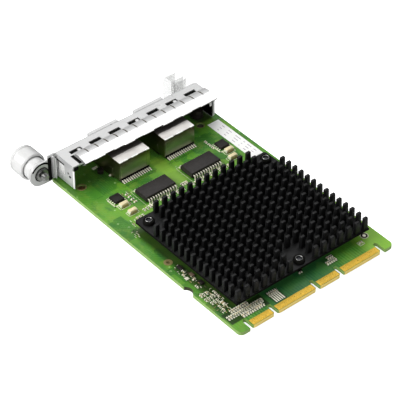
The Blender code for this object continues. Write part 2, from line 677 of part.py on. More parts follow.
def make_push_pins():
    head_bottom = SINK_BASE_TOP + CLEARANCE
    head_top = head_bottom + PUSH_PIN_HEAD_HEIGHT
    barb_top = -BOARD_THICKNESS - CLEARANCE
    chamfer = PUSH_PIN_HEAD_HEIGHT / 3
    socket = PUSH_PIN_HEAD_RADIUS * 0.45
    profile = [
        (0.0, head_top - chamfer),
        (socket, head_top - chamfer),
        (socket, head_top),
        (PUSH_PIN_HEAD_RADIUS - chamfer, head_top),
        (PUSH_PIN_HEAD_RADIUS, head_top - chamfer),
        (PUSH_PIN_HEAD_RADIUS, head_bottom),
        (PUSH_PIN_SHANK_RADIUS, head_bottom),
        (PUSH_PIN_SHANK_RADIUS, barb_top),
        (PUSH_PIN_BARB_RADIUS, barb_top),
        (PUSH_PIN_SHANK_RADIUS * 0.7, barb_top - PUSH_PIN_BARB_LENGTH),
        (0.0, barb_top - PUSH_PIN_BARB_LENGTH),
    ]
    names = ("push_pin_left", "push_pin_right", "push_pin_front")
    for name, (x, y) in zip(names, push_pin_places()):
        add_part(name, turned(name, profile, 12), "dark_steel", Matrix.Translation((x, y, 0)))


def port_outline(centre, grow):
    """An RJ45 opening in (X, Z): a rectangle with a narrower latch slot on top."""
    half, latch = PORT_WIDTH / 2 + grow, PORT_LATCH_WIDTH / 2 + grow
    low, high = PORT_BOTTOM - grow, PORT_BOTTOM + PORT_HEIGHT + grow
    top = high + PORT_LATCH_HEIGHT
    return [
        (centre - half, low), (centre + half, low), (centre + half, high),
        (centre + latch, high), (centre + latch, top), (centre - latch, top),
        (centre - latch, high), (centre - half, high),
    ]


def face_outline():
    """The faceplate in (X, Z) with the rounded ear of the thumbscrew at its left."""
    ear_low, ear_high = SCREW_Z - EAR_RADIUS, SCREW_Z + EAR_RADIUS
    outline = arc((SCREW_X, SCREW_Z), EAR_RADIUS, 90, 270, 14)
    outline += [(BRACKET_LEFT - SHEET, ear_low), (BRACKET_LEFT, FACE_BOTTOM)]
    outline += [(BRACKET_RIGHT, FACE_BOTTOM), (BRACKET_RIGHT, FACE_TOP - BEND_RADIUS)]
    outline += [(BRACKET_LEFT, FACE_TOP - BEND_RADIUS), (BRACKET_LEFT, FACE_TOP)]
    outline += [(FACE_LEFT, FACE_TOP), (FACE_LEFT, ear_high)]
    return outline


def top_bend():
    """(Y, Z) path of the sheet from the faceplate's top, over the bend, back along the top."""
    inner = BEND_RADIUS - SHEET
    path = [(FACE_INNER_Y, FACE_TOP - BEND_RADIUS - SHEET)]
    path += arc((FACE_INNER_Y - inner, FACE_TOP - BEND_RADIUS), inner, 0, 90, 4)
    path.append((FACE_INNER_Y - TOP_FLANGE_DEPTH, FACE_TOP - SHEET))
    return path


def side_flange_outline():
    """A side flange in (Y, Z), from the faceplate back, with a short chamfer at its foot."""
    rear = FACE_INNER_Y - SIDE_FLANGE_DEPTH
    chamfer = SHEET
    return [
        (rear + chamfer, SIDE_FLANGE_BOTTOM), (FACE_INNER_Y + SHEET / 2, SIDE_FLANGE_BOTTOM),
        (FACE_INNER_Y + SHEET / 2, FACE_TOP - SHEET / 2), (rear, FACE_TOP - SHEET / 2),
        (rear, SIDE_FLANGE_BOTTOM + chamfer),
    ]


def side_flange_holes():
    far = FACE_INNER_Y - SIDE_WINDOW_FROM_FACE
    near = far - SIDE_WINDOW_LENGTH
    holes = [rectangle((near, SIDE_WINDOW_Z), (far, SIDE_WINDOW_Z + SIDE_WINDOW_HEIGHT))]
    for back, height in SIDE_PINHOLES:
        holes.append(circle((FACE_INNER_Y - back, height), SIDE_PINHOLE_RADIUS, 10))
    return holes


def window_spans():
    middle = FACE_INNER_Y - WINDOW_FROM_FACE
    spans = []
    for index in range(WINDOW_COUNT):
        x = WINDOW_FIRST_X + index * WINDOW_PITCH
        low = (x - WINDOW_LENGTH / 2, middle - WINDOW_WIDTH / 2, FACE_TOP - CUT_MARGIN - SHEET)
        high = (x + WINDOW_LENGTH / 2, middle + WINDOW_WIDTH / 2, FACE_TOP + CUT_MARGIN)
        spans.append((low, high))
    return spans


def collar_outline(centre):
    half = JACK_WIDTH / 2 - CLEARANCE
    return rectangle((centre - half, JACK_BOTTOM), (centre + half, FACE_TOP))


def make_bracket():
    """Faceplate, top and side flanges, port collars and board tabs: one bent sheet."""
    holes = [port_outline(centre, CLEARANCE) for centre in JACK_CENTRES]
    holes.append(circle((SCREW_X, SCREW_Z), FERRULE_STUB_RADIUS + CLEARANCE, 20))
    face = plate("bracket", [face_outline()] + holes, -FACE_OUTER_Y, -FACE_INNER_Y)
    bracket = add_part("bracket", face, "nickel_sheet")
    bracket.data.transform(UPRIGHT_XZ)
    top = bent_sheet("top_flange", top_bend(), BRACKET_LEFT, BRACKET_RIGHT, -SHEET)
    join(bracket, "top_flange", top)
    side = [side_flange_outline()] + side_flange_holes()
    right = BRACKET_RIGHT - SHEET
    left_flange = plate("left_flange", side, BRACKET_LEFT, BRACKET_LEFT + SHEET)
    join(bracket, "left_flange", left_flange, UPRIGHT_YZ)
    join(bracket, "right_flange", plate("right_flange", side, right, BRACKET_RIGHT), UPRIGHT_YZ)
    lip_low = (LIP_X, FACE_INNER_Y - LIP_DEPTH, SIDE_FLANGE_BOTTOM)
    lip_high = (LIP_X + LIP_WIDTH, FACE_INNER_Y + SHEET / 2, FACE_TOP - CLEARANCE)
    join(bracket, "face_lip", boxes("face_lip", [(lip_low, lip_high)]))
    for index, centre in enumerate(JACK_CENTRES):
        ring = [collar_outline(centre), port_outline(centre, CLEARANCE)]
        mesh = plate("port_collar", ring, -JACK_FRONT_Y, -FACE_OUTER_Y + SHEET / 2)
        join(bracket, f"port_collar_{index}", mesh, UPRIGHT_XZ)
    for index, (x, y) in enumerate(BOARD_TABS):
        low = (x - BOARD_TAB_WIDTH / 2, y - BOARD_TAB_END)
        high = (x + BOARD_TAB_WIDTH / 2, FACE_INNER_Y + SHEET / 2)
        ring = [rectangle(low, high)]
        mesh = plate("board_tab", ring, BOARD_TAB_TOP - SHEET, BOARD_TAB_TOP)
        join(bracket, f"board_tab_{index}", mesh)
    cut(bracket, "windows", boxes("windows", window_spans()))
    for index, (x, y) in enumerate(BOARD_TABS):
        sink = turned("countersink", countersink_profile(CLEARANCE, CUT_MARGIN), 16)
        cut(bracket, f"countersink_{index}", sink, Matrix.Translation((x, y, 0)))
    return bracket


def countersink_profile(grow, extra):
    """The bracket screw's flat head and shank, grown for its hole; extra runs past both faces."""
    head_bottom = BOARD_TAB_TOP - SHEET
    neck = BOARD_TAB_TOP - SHEET / 3
    head, shank = BOARD_SCREW_HEAD_RADIUS + grow, BOARD_SCREW_RADIUS + grow
    top = BOARD_TAB_TOP + extra if extra else -CLEARANCE
    profile = [(0.0, top), (shank, top), (shank, neck), (head, head_bottom)]
    if extra:
        profile.append((head, head_bottom - extra))
    profile.append((0.0, head_bottom - extra))
    return profile


def make_board_screws():
    for side, (x, y) in zip(("left", "right"), BOARD_TABS):
        name = f"bracket_screw_{side}"
        mesh = turned(name, countersink_profile(0.0, 0.0), 16)
        add_part(name, mesh, "bright_steel", Matrix.Translation((x, y, 0)))


def strip_path():
    """(Y, Z) path of a top spring finger: root, crown, drop over the flange's rear edge."""
    root = FACE_INNER_Y - STRIP_ROOT_FROM_FACE
    end = FACE_INNER_Y - STRIP_END_FROM_FACE
    floor = FACE_TOP + CLEARANCE
    span = root - end
    path = [(root, floor)]
    for step in range(1, 4):
        share = step / 4
        path.append((root - share * span, floor + STRIP_CROWN * math.sin(math.pi * share ** 0.8)))
    path += [(end, floor - CLEARANCE), (end - CLEARANCE, floor - STRIP_DROP / 2)]
    path.append((end + CLEARANCE, floor - STRIP_DROP))
    return path


def make_top_strip():
    """The row of spring fingers along the top flange, with hooks let down through windows."""
    left = WINDOW_FIRST_X - STRIP_PITCH / 2
    right = BRACKET_RIGHT - CLEARANCE
    mesh = bent_sheet("top_spring_strip", strip_path(), left, right, -STRIP_SHEET)
    strip = add_part("top_spring_strip", mesh, "spring_steel")
    end = FACE_INNER_Y - STRIP_END_FROM_FACE
    root = FACE_INNER_Y - STRIP_ROOT_FROM_FACE
    slits = []
    x = left + STRIP_PITCH
    while x < right - STRIP_SLIT:
        low = (x - STRIP_SLIT / 2, end - CUT_MARGIN, 0.0)
        high = (x + STRIP_SLIT / 2, root - CUT_MARGIN, FACE_TOP + 3 * CUT_MARGIN)
        slits.append((low, high))
        x += STRIP_PITCH
    cut(strip, "strip_slits", boxes("strip_slits", slits))
    hooks = []
    window_y = FACE_INNER_Y - WINDOW_FROM_FACE
    for index in HOOK_WINDOWS:
        x = WINDOW_FIRST_X + index * WINDOW_PITCH
        floor = FACE_TOP + CLEARANCE
        low = (x - HOOK_WIDTH / 2, root - STRIP_SHEET, floor)
        high = (x + HOOK_WIDTH / 2, window_y + STRIP_SHEET, floor + STRIP_SHEET)
        hooks.append((low, high))
        low = (x - HOOK_WIDTH / 2, window_y, FACE_TOP - SHEET - CLEARANCE)
        hooks.append((low, high))
    for index, hook in enumerate(hooks):
        join(strip, f"strip_hook_{index}", boxes("strip_hook", [hook]))
    return strip


def make_side_clip(side, low_x, bulge):
    """A two-finger spring clip behind a side window, bowed out by bulge."""
    far = FACE_INNER_Y - SIDE_WINDOW_FROM_FACE + CLEARANCE
    near = far - SIDE_WINDOW_LENGTH - 2 * CLEARANCE
    low_z, high_z = SIDE_WINDOW_Z - CUT_MARGIN, SIDE_WINDOW_Z + SIDE_WINDOW_HEIGHT + CUT_MARGIN
    path = []
    steps = 6
    for step in range(steps + 1):
        share = step / steps
        path.append((low_z + share * (high_z - low_z), low_x + bulge * math.sin(math.pi * share)))
    mesh = bent_sheet(f"side_spring_{side}", path, near, far, STRIP_SHEET)
    turn = Matrix(((0, 0, 1, 0), (1, 0, 0, 0), (0, 1, 0, 0), (0, 0, 0, 1)))
    mesh.transform(turn)
    clip = add_part(f"side_spring_{side}", mesh, "spring_steel")
    middle = (near + far) / 2
    low = (low_x - 2 * CUT_MARGIN, middle - STRIP_SLIT / 2, low_z + CUT_MARGIN)
    high = (low_x + 2 * CUT_MARGIN, middle + STRIP_SLIT / 2, high_z - CUT_MARGIN)
    cut(clip, f"side_slit_{side}", boxes("side_slit", [(low, high)]))
    return clip


def make_bottom_strip():
    """Spring fingers inside the faceplate's lower edge, between the jacks."""
    left = JACK_CENTRES[0] + JACK_WIDTH / 2 + 2 * CLEARANCE
    right = JACK_CENTRES[1] - JACK_WIDTH / 2 - 2 * CLEARANCE
    rear = FACE_INNER_Y - BOTTOM_STRIP_DEPTH
    low = -BOARD_THICKNESS - CLEARANCE
    path = [(FACE_INNER_Y - CLEARANCE, FACE_BOTTOM + STRIP_SHEET), (FACE_INNER_Y - CLEARANCE, low)]
    path.append((rear, low))
    mesh = bent_sheet("bottom_spring_strip", path, left, right, STRIP_SHEET)
    strip = add_part("bottom_spring_strip", mesh, "spring_steel")
    middle = (left + right) / 2
    slit_low = (middle - STRIP_SLIT / 2, rear - CUT_MARGIN, FACE_BOTTOM)
    slit_high = (middle + STRIP_SLIT / 2, rear + BOTTOM_STRIP_DEPTH / 2, 0.0)
    cut(strip, "bottom_slit", boxes("bottom_slit", [(slit_low, slit_high)]))


def make_thumbscrew():
    """Ferrule fixed in the ear, hollow knob on its screw, and the ring that keeps it captive."""
    face = FACE_OUTER_Y
    bore = SCREW_SHANK_RADIUS + CLEARANCE
    ferrule = [
        (bore, face + FERRULE_LENGTH),
        (FERRULE_RADIUS - CLEARANCE, face + FERRULE_LENGTH),
        (FERRULE_RADIUS, face + FERRULE_LENGTH - CLEARANCE),
        (FERRULE_RADIUS, face + CLEARANCE),
        (FERRULE_STUB_RADIUS, face + CLEARANCE),
        (FERRULE_STUB_RADIUS, FACE_INNER_Y),
        (bore, FACE_INNER_Y),
    ]
    add_part("screw_ferrule", turned("screw_ferrule", ferrule, 20, True), "nickel_sheet", SCREW_AXIS)
    ring_front = FACE_INNER_Y - CLEARANCE
    ring_rear = ring_front - RING_THICKNESS
    groove_front, groove_rear = ring_front + CLEARANCE, ring_rear - CLEARANCE
    cavity = FERRULE_RADIUS + CLEARANCE
    ledge = KNOB_FRONT_Y - KNOB_CAP
    edge = 2 * CLEARANCE
    knob = [
        (0.0, KNOB_FRONT_Y - edge / 2),
        (KNOB_RADIUS * 0.5, KNOB_FRONT_Y),
        (KNOB_RADIUS - 2 * edge, KNOB_FRONT_Y - edge / 2),
        (KNOB_RADIUS - edge / 2, KNOB_FRONT_Y - 2 * edge),
        (KNOB_RADIUS, ledge + edge),
        (KNOB_RADIUS - KNOB_GROOVE, ledge + edge / 2),
        (KNOB_RADIUS - KNOB_GROOVE, ledge - edge / 2),
        (KNOB_RADIUS, ledge - edge),
        (KNOB_RADIUS, KNOB_REAR_Y + edge / 2),
        (KNOB_RADIUS - edge / 2, KNOB_REAR_Y),
        (cavity, KNOB_REAR_Y),
        (cavity, ledge),
        (SCREW_SHANK_RADIUS, ledge),
        (SCREW_SHANK_RADIUS, groove_front),
        (SCREW_GROOVE_RADIUS, groove_front),
        (SCREW_GROOVE_RADIUS, groove_rear),
        (SCREW_SHANK_RADIUS, groove_rear),
        (SCREW_SHANK_RADIUS, groove_rear - SCREW_TIP_LENGTH),
        (SCREW_SHANK_RADIUS * 0.7, groove_rear - SCREW_TIP_LENGTH - edge),
        (0.0, groove_rear - SCREW_TIP_LENGTH - edge),
    ]
    add_part("thumbscrew", turned("thumbscrew", knob, 20), "nickel_sheet", SCREW_AXIS)
    inner = SCREW_GROOVE_RADIUS + CLEARANCE
    ring = [(inner, ring_front), (RING_RADIUS, ring_front), (RING_RADIUS, ring_rear), (inner, ring_rear)]
    add_part("retaining_ring", turned("retaining_ring", ring, 16, True), "bright_steel", SCREW_AXIS)


def rivet_profile(grow, extra):
    """A rivet with a low head outside and a flared end inside; extra makes it a hole cutter."""
    head_rear = FACE_OUTER_Y + CLEARANCE + PULL_TAB_SHEET + CLEARANCE
    flare_front = FACE_INNER_Y + SHEET / 2
    shank, flare = RIVET_RADIUS + grow, RIVET_HEAD_RADIUS * 0.9 + grow
    if extra:
        profile = [(0.0, head_rear + extra), (shank, head_rear + extra)]
    else:
        front = head_rear + RIVET_HEAD
        profile = [(0.0, front), (RIVET_HEAD_RADIUS * 0.7, front), (RIVET_HEAD_RADIUS, head_rear)]
        profile.append((shank, head_rear))
    profile += [(shank, flare_front), (flare, FACE_INNER_Y)]
    if extra:
        profile.append((flare, FACE_INNER_Y - extra))
    profile.append((0.0, FACE_INNER_Y - extra))
    return profile


def make_pull_tab():
    """A strip bent into a flat U that stands out from the faceplate, held by two rivets."""
    face = FACE_OUTER_Y + CLEARANCE
    outer = PULL_TAB_OUTER_Y - PULL_TAB_SHEET
    radius = PULL_TAB_BEND
    top, bottom = PULL_TAB_TOP - PULL_TAB_SHEET, PULL_TAB_BOTTOM + PULL_TAB_SHEET
    path = [(face, top)]
    path += arc((outer - radius, top - radius), radius, 90, 0, 5)
    path += arc((outer - radius, bottom + radius), radius, 0, -90, 5)
    path.append((face, bottom))
    mesh = bent_sheet("pull_tab", path, PULL_TAB_X, PULL_TAB_X + PULL_TAB_WIDTH, PULL_TAB_SHEET)
    tab = add_part("pull_tab", mesh, "pale_plastic")
    feet = [
        (top - PULL_TAB_FOOT, top + PULL_TAB_SHEET),
        (bottom - PULL_TAB_SHEET, bottom + PULL_TAB_FOOT),
    ]
    middle = PULL_TAB_X + PULL_TAB_WIDTH / 2
    for index, (low_z, high_z) in enumerate(feet):
        low = (PULL_TAB_X, face, low_z)
        high = (PULL_TAB_X + PULL_TAB_WIDTH, face + PULL_TAB_SHEET, high_z)
        join(tab, f"tab_foot_{index}", boxes("tab_foot", [(low, high)]))
    rivet_heights = (top - PULL_TAB_FOOT / 2, bottom + PULL_TAB_FOOT / 2)
    bracket = bpy.data.objects["bracket"]
    for name, height in zip(("upper", "lower"), rivet_heights):
        place = Matrix.Translation((middle, 0, height)) @ Matrix.Rotation(math.radians(-90), 4, "X")
        hole = turned("rivet_hole", rivet_profile(CLEARANCE, CUT_MARGIN), 14)
        cut(tab, f"tab_hole_{name}", hole, place)
        cut(bracket, f"bracket_hole_{name}", hole, place)
        rivet = turned(f"tab_rivet_{name}", rivet_profile(0.0, 0.0), 14)
        add_part(f"tab_rivet_{name}", rivet, "bright_steel", place)


def jack_section(centre, inset, front):
    """(Y, Z) side of a jack: its front part sunk through the board, its rear part on it."""
    rear = JACK_REAR_Y + inset
    return [
        (rear, CLEARANCE + inset), (JACK_SUNK_Y + inset, CLEARANCE + inset),
        (JACK_SUNK_Y + inset, JACK_BOTTOM + inset), (front, JACK_BOTTOM + inset),
        (front, JACK_TOP - inset), (rear, JACK_TOP - inset),
    ]


def make_jack(side, centre):
    """Shield can, moulded housing with the port, contact wires and solder tails of one jack."""
    half = JACK_WIDTH / 2
    inner_front = FACE_INNER_Y - CLEARANCE
    outer = plate("shield", [jack_section(centre, 0.0, inner_front)], centre - half, centre + half)
    shield = add_part(f"jack_shield_{side}", outer, "shield_chrome")
    shield.data.transform(UPRIGHT_YZ)
    hollow = [jack_section(centre, SHIELD_WALL, inner_front + CUT_MARGIN)]
    inside = half - SHIELD_WALL
    hollow_mesh = plate("shield_hollow", hollow, centre - inside, centre + inside)
    cut(shield, f"shield_hollow_{side}", hollow_mesh, UPRIGHT_YZ)
    tail_low = (centre - inside, JACK_REAR_Y - CUT_MARGIN, 0.0)
    tail_high = (centre + inside, JACK_REAR_Y + SHIELD_WALL * 3, CLEARANCE + LEAD_THICKNESS + 2 * CLEARANCE)
    cut(shield, f"shield_tail_way_{side}", boxes("tail_way", [(tail_low, tail_high)]))
    gap = SHIELD_WALL + CLEARANCE
    nose = FACE_OUTER_Y + JACK_COLLAR - CLEARANCE
    profile = [jack_section(centre, gap, inner_front)]
    body = plate("housing", profile, centre - half + gap, centre + half - gap)
    housing = add_part(f"jack_housing_{side}", body, "black_plastic")
    housing.data.transform(UPRIGHT_YZ)
    cavity = plate("port", [port_outline(centre, -CLEARANCE)], -nose - CUT_MARGIN, -(nose - PORT_DEPTH))
    cut(housing, f"port_{side}", cavity, UPRIGHT_XZ)
    floor = PORT_BOTTOM + 2 * CLEARANCE
    bar_half = WIRE_COUNT * WIRE_PITCH / 2
    bar_low = (centre - bar_half, nose - PORT_DEPTH - CLEARANCE, floor)
    bar_high = (centre + bar_half, nose - PORT_DEPTH + 3 * CLEARANCE, floor + WIRE_RISE + WIRE_WIDTH)
    pocket_low = Vector(bar_low) - Vector((CLEARANCE,) * 3)
    pocket_high = Vector(bar_high) + Vector((CLEARANCE,) * 3)
    cut(housing, f"insert_pocket_{side}", boxes("insert_pocket", [(pocket_low, pocket_high)]))
    wires = add_part(f"jack_contacts_{side}", boxes("jack_contacts", [(bar_low, bar_high)]), "gold")
    rear, front = bar_high[1] - CLEARANCE, nose - PORT_DEPTH / 3
    path = [(rear, floor + WIRE_RISE), (front, floor), (front, floor + WIRE_WIDTH)]
    path.append((rear, floor + WIRE_RISE + WIRE_WIDTH))
    for index in range(WIRE_COUNT):
        x = centre + (index - (WIRE_COUNT - 1) / 2) * WIRE_PITCH
        wire = plate("wire", [path], x - WIRE_WIDTH / 2, x + WIRE_WIDTH / 2)
        join(wires, f"wire_{side}_{index}", wire, UPRIGHT_YZ)
    tail_bottom = CLEARANCE
    spine_low = (centre - inside + CLEARANCE, JACK_REAR_Y + CLEARANCE, tail_bottom)
    spine_front = JACK_REAR_Y + gap - CLEARANCE + LEAD_THICKNESS
    spine_high = (centre + inside - CLEARANCE, spine_front, tail_bottom + LEAD_THICKNESS)
    way_low = Vector(spine_low) - Vector((CUT_MARGIN,) * 3)
    way_high = Vector(spine_high) + Vector((CLEARANCE,) * 3)
    spine_way = (way_low, way_high)
    cut(housing, f"tail_pocket_{side}", boxes("tail_pocket", [spine_way]))
    tails = add_part(f"jack_tails_{side}", boxes("jack_tails", [(spine_low, spine_high)]), "bright_steel")
    teeth = []
    for index in range(TAIL_COUNT):
        x = centre + (index - (TAIL_COUNT - 1) / 2) * TAIL_PITCH
        low = (x - TAIL_WIDTH / 2, JACK_REAR_Y - TAIL_REACH, tail_bottom)
        high = (x + TAIL_WIDTH / 2, spine_high[1] - CLEARANCE, tail_bottom + LEAD_THICKNESS)
        teeth.append((low, high))
    join(tails, f"tail_teeth_{side}", boxes("tail_teeth", teeth))


def make_magnetics(side, centre):
    """A moulded 24-lead package with gull-wing leads along both long sides."""
    half_x, half_y = MAGNETICS_LENGTH / 2, MAGNETICS_WIDTH / 2
    low_z, high_z = MAGNETICS_STANDOFF, MAGNETICS_STANDOFF + MAGNETICS_HEIGHT
    waist = (low_z + high_z) / 2
    low, high = (centre - half_x, MAGNETICS_Y - half_y), (centre + half_x, MAGNETICS_Y + half_y)
    upper = boxes("magnetics", [((*low, waist - CLEARANCE), (*high, high_z))], 0.95)
    package = add_part(f"magnetics_{side}", upper, "package_black")
    inset = CLEARANCE / 2
    lower_low = (low[0] + inset, low[1] + inset, low_z)
    lower_high = (high[0] - inset, high[1] - inset, waist)
    join(package, f"magnetics_lower_{side}", boxes("magnetics_lower", [(lower_low, lower_high)]))
    leads = []
    for toward in (-1, 1):
        wall = MAGNETICS_Y + toward * (half_y - 2 * CLEARANCE)
        knee = MAGNETICS_Y + toward * (half_y + LEAD_SPREAD * 0.45)
        toe = MAGNETICS_Y + toward * (half_y + LEAD_SPREAD)
        lift, foot = waist - LEAD_THICKNESS / 2, LEAD_THICKNESS / 2
        path = [
            (wall, lift + LEAD_THICKNESS), (knee, lift + LEAD_THICKNESS),
            (knee + toward * LEAD_THICKNESS, foot + LEAD_THICKNESS), (toe, foot + LEAD_THICKNESS),
            (toe, foot), (knee, foot), (knee - toward * LEAD_THICKNESS, lift), (wall, lift),
        ]
        for index in range(LEADS_PER_SIDE):
            x = centre + (index - (LEADS_PER_SIDE - 1) / 2) * LEAD_PITCH
            leads.append(plate("lead", [path], x - LEAD_WIDTH / 2, x + LEAD_WIDTH / 2))
    bm = bmesh.new()
    for lead in leads:
        bm.from_mesh(lead)
    comb = settle(bm, bpy.data.meshes.new("leads"))
    join(package, f"leads_{side}", comb, UPRIGHT_YZ)


def make_small_parts():
    for side, (x, y) in zip(("left", "right"), CHIP_CENTRES):
        half = CHIP_SIZE / 2
        span = ((x - half, y - half, CLEARANCE / 2), (x + half, y + half, CLEARANCE / 2 + CHIP_HEIGHT))
        add_part(f"small_chip_{side}", boxes("small_chip", [span], 0.94), "package_black")
    length, width, height = CAPACITOR_SIZE
    names = ("left_1", "left_2", "right_1", "right_2")
    for name, (x, y) in zip(names, CAPACITOR_CENTRES):
        base = CLEARANCE / 2
        body = ((x - length / 2, y - width / 2, base), (x + length / 2, y + width / 2, base + height))
        capacitor = add_part(f"capacitor_{name}", boxes("capacitor", [body]), "tan_ceramic")
        ends = []
        for low_x in (x - length / 2 - CLEARANCE / 2, x + length / 2 + CLEARANCE / 2 - CAPACITOR_END):
            low = (low_x, y - width / 2 - CLEARANCE / 4, base - CLEARANCE / 4)
            high = (low_x + CAPACITOR_END, y + width / 2 + CLEARANCE / 4, base + height + CLEARANCE / 4)
            ends.append((low, high))
        join(capacitor, f"capacitor_ends_{name}", boxes("capacitor_ends", ends))
    low = (*LABEL_LOW, LABEL_GAP)
    high = (LABEL_LOW[0] + LABEL_SIZE[0], LABEL_LOW[1] + LABEL_SIZE[1], LABEL_GAP + LABEL_THICKNESS)
    add_part("label", boxes("label", [(low, high)]), "paper_white")


make_board()
make_heatsink()
make_controller()
make_push_pins()
make_bracket()
make_board_screws()
make_top_strip()
make_side_clip("left", BRACKET_LEFT + SHEET + 2 * CLEARANCE, -CLEARANCE)
make_side_clip("right", BRACKET_RIGHT - SHEET - 2 * CLEARANCE - STRIP_SHEET, CLEARANCE)
make_bottom_strip()
make_thumbscrew()
make_pull_tab()
for jack_side, jack_centre in zip(("left", "right"), JACK_CENTRES):
    make_jack(jack_side, jack_centre)
    make_magnetics(jack_side, jack_centre)
make_small_parts()
bpy.context.view_layer.update()
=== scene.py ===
import math
import random

import bmesh
import bpy
from mathutils import Matrix, Vector


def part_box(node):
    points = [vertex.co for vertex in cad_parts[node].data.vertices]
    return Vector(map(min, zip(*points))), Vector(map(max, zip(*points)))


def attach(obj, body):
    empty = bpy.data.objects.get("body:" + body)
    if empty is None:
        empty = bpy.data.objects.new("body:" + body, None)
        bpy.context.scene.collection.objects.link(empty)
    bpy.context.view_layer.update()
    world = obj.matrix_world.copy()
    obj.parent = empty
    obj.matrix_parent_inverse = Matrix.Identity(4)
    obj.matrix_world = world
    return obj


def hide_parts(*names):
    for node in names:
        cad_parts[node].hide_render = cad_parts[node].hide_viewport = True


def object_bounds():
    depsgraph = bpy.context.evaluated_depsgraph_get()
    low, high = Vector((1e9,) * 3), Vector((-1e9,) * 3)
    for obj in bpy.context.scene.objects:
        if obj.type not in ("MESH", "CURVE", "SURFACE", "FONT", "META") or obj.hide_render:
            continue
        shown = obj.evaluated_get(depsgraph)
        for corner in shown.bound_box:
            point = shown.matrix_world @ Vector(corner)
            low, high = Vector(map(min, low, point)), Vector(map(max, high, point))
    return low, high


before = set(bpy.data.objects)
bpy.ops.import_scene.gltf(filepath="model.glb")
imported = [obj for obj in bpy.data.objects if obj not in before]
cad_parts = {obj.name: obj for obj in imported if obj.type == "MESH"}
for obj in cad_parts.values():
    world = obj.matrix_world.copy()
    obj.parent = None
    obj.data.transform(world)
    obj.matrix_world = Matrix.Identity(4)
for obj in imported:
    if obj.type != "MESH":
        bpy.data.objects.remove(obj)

CAD_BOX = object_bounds()
MM = 0.001
random.seed(7)

# The card in millimetres: X from the board's left edge, Y from its connector edge, Z from its
# component side
BOARD_WIDTH, BOARD_THICKNESS = 76.0, 1.57
BOARD_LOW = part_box("circuit_board")[0]
ORIGIN = Vector((BOARD_LOW.x, BOARD_LOW.y, BOARD_LOW.z + BOARD_THICKNESS * MM))
FACE_REAR, FACE_FRONT = 113.8, 114.6
WINDOW_FIRST, WINDOW_PITCH, WINDOW_COUNT = 9.4, 9.6, 7
PORTS = (("left", 26.5), ("right", 49.2))
SMALL_CHIPS = (("left", (11.6, 87.2)), ("right", (64.4, 86.9)))
SCREW_X, SCREW_Z = -4.6, 4.3


def in_millimetres(corners):
    """Corners of the frame's solids, in the card's millimetres."""
    return ((corner - ORIGIN) / MM for corner in corners)


# Materials

def add(tree, kind, **settings):
    """A node; settings that name an input set its value or link a socket to it."""
    node = tree.nodes.new(kind)
    inputs = {}
    for key, value in settings.items():
        if hasattr(node, key) and key not in ("inputs", "outputs"):
            setattr(node, key, value)
        else:
            inputs[key] = value
    for key, value in inputs.items():
        put(tree, node, key, value)
    return node


def put(tree, node, key, value):
    """Sets an input of a node, or links a socket to it."""
    socket = node.inputs[key.replace("_", " ") if isinstance(key, str) else key]
    if isinstance(value, bpy.types.NodeSocket):
        tree.links.new(value, socket)
    elif isinstance(value, tuple) and len(value) == 3 and socket.type == "RGBA":
        socket.default_value = (*value, 1.0)
    else:
        socket.default_value = value


def calc(tree, operation, first, second=0.0):
    node = tree.nodes.new("ShaderNodeMath")
    node.operation = operation
    for index, value in enumerate((first, second)):
        put(tree, node, index, value)
    return node.outputs[0]


def times(tree, first, second):
    return calc(tree, "MULTIPLY", first, second)


def remap(tree, value, from_low, from_high, to_low, to_high):
    node = tree.nodes.new("ShaderNodeMapRange")
    for index, item in enumerate((value, from_low, from_high, to_low, to_high)):
        put(tree, node, index, item)
    return node.outputs[0]


def blend(tree, share, first, second):
    """The first colour where the share is 0, the second where it is 1."""
    node = tree.nodes.new("ShaderNodeMix")
    node.data_type = "RGBA"
    put(tree, node, 0, share)
    put(tree, node, 6, first)
    put(tree, node, 7, second)
    return node.outputs[2]


def place(tree, stretch=(1, 1, 1)):
    """Object coordinates, stretched along the card's axes."""
    source = tree.nodes.new("ShaderNodeTexCoord").outputs["Object"]
    node = tree.nodes.new("ShaderNodeMapping")
    tree.links.new(source, node.inputs["Vector"])
    node.inputs["Scale"].default_value = stretch
    return node.outputs[0]


def noise(tree, vector, size_mm, detail=3.0, roughness=0.5):
    node = add(tree, "ShaderNodeTexNoise", Vector=vector, Scale=1000 / size_mm,
               Detail=detail, Roughness=roughness)
    return node.outputs["Fac"]


def material(name):
    made = bpy.data.materials.new(name)
    made.use_nodes = True
    return made, made.node_tree, made.node_tree.nodes["Principled BSDF"]


def finish(name, colour, dark=0.8, size=3.0, rough=(0.3, 0.45), metal=0.0, bump=0.05,
           grain=0.25, stretch=(1, 1, 1), specular=0.5, edge=None):
    """A surface with drifting tone, uneven gloss and a fine grain; edge lightens rounded edges."""
    made, tree, shader = material(name)
    vector = place(tree, stretch)
    drift = remap(tree, noise(tree, vector, size, 4.0), 0.3, 0.7, 0.0, 1.0)
    tone = blend(tree, drift, tuple(channel * dark for channel in colour), colour)
    fine = noise(tree, vector, grain, 2.0)
    if edge:
        bevel = add(tree, "ShaderNodeBevel", samples=4, Radius=0.12 * MM)
        normal = tree.nodes.new("ShaderNodeNewGeometry").outputs["Normal"]
        dot = add(tree, "ShaderNodeVectorMath", operation="DOT_PRODUCT")
        tree.links.new(bevel.outputs[0], dot.inputs[0])
        tree.links.new(normal, dot.inputs[1])
        rounded_edge_share = remap(tree, dot.outputs["Value"], 0.97, 0.75, 0.0, 0.8)
        tone = blend(tree, rounded_edge_share, tone, edge)
    put(tree, shader, "Base Color", tone)
    put(tree, shader, "Roughness", remap(tree, noise(tree, vector, size * 0.6, 3.0), 0.25, 0.75, *rough))
    shader.inputs["Metallic"].default_value = metal
    shader.inputs["Specular IOR Level"].default_value = specular
    relief = add(tree, "ShaderNodeBump", Height=fine, Strength=bump, Distance=0.05 * MM)
    put(tree, shader, "Normal", relief.outputs[0])
    return made
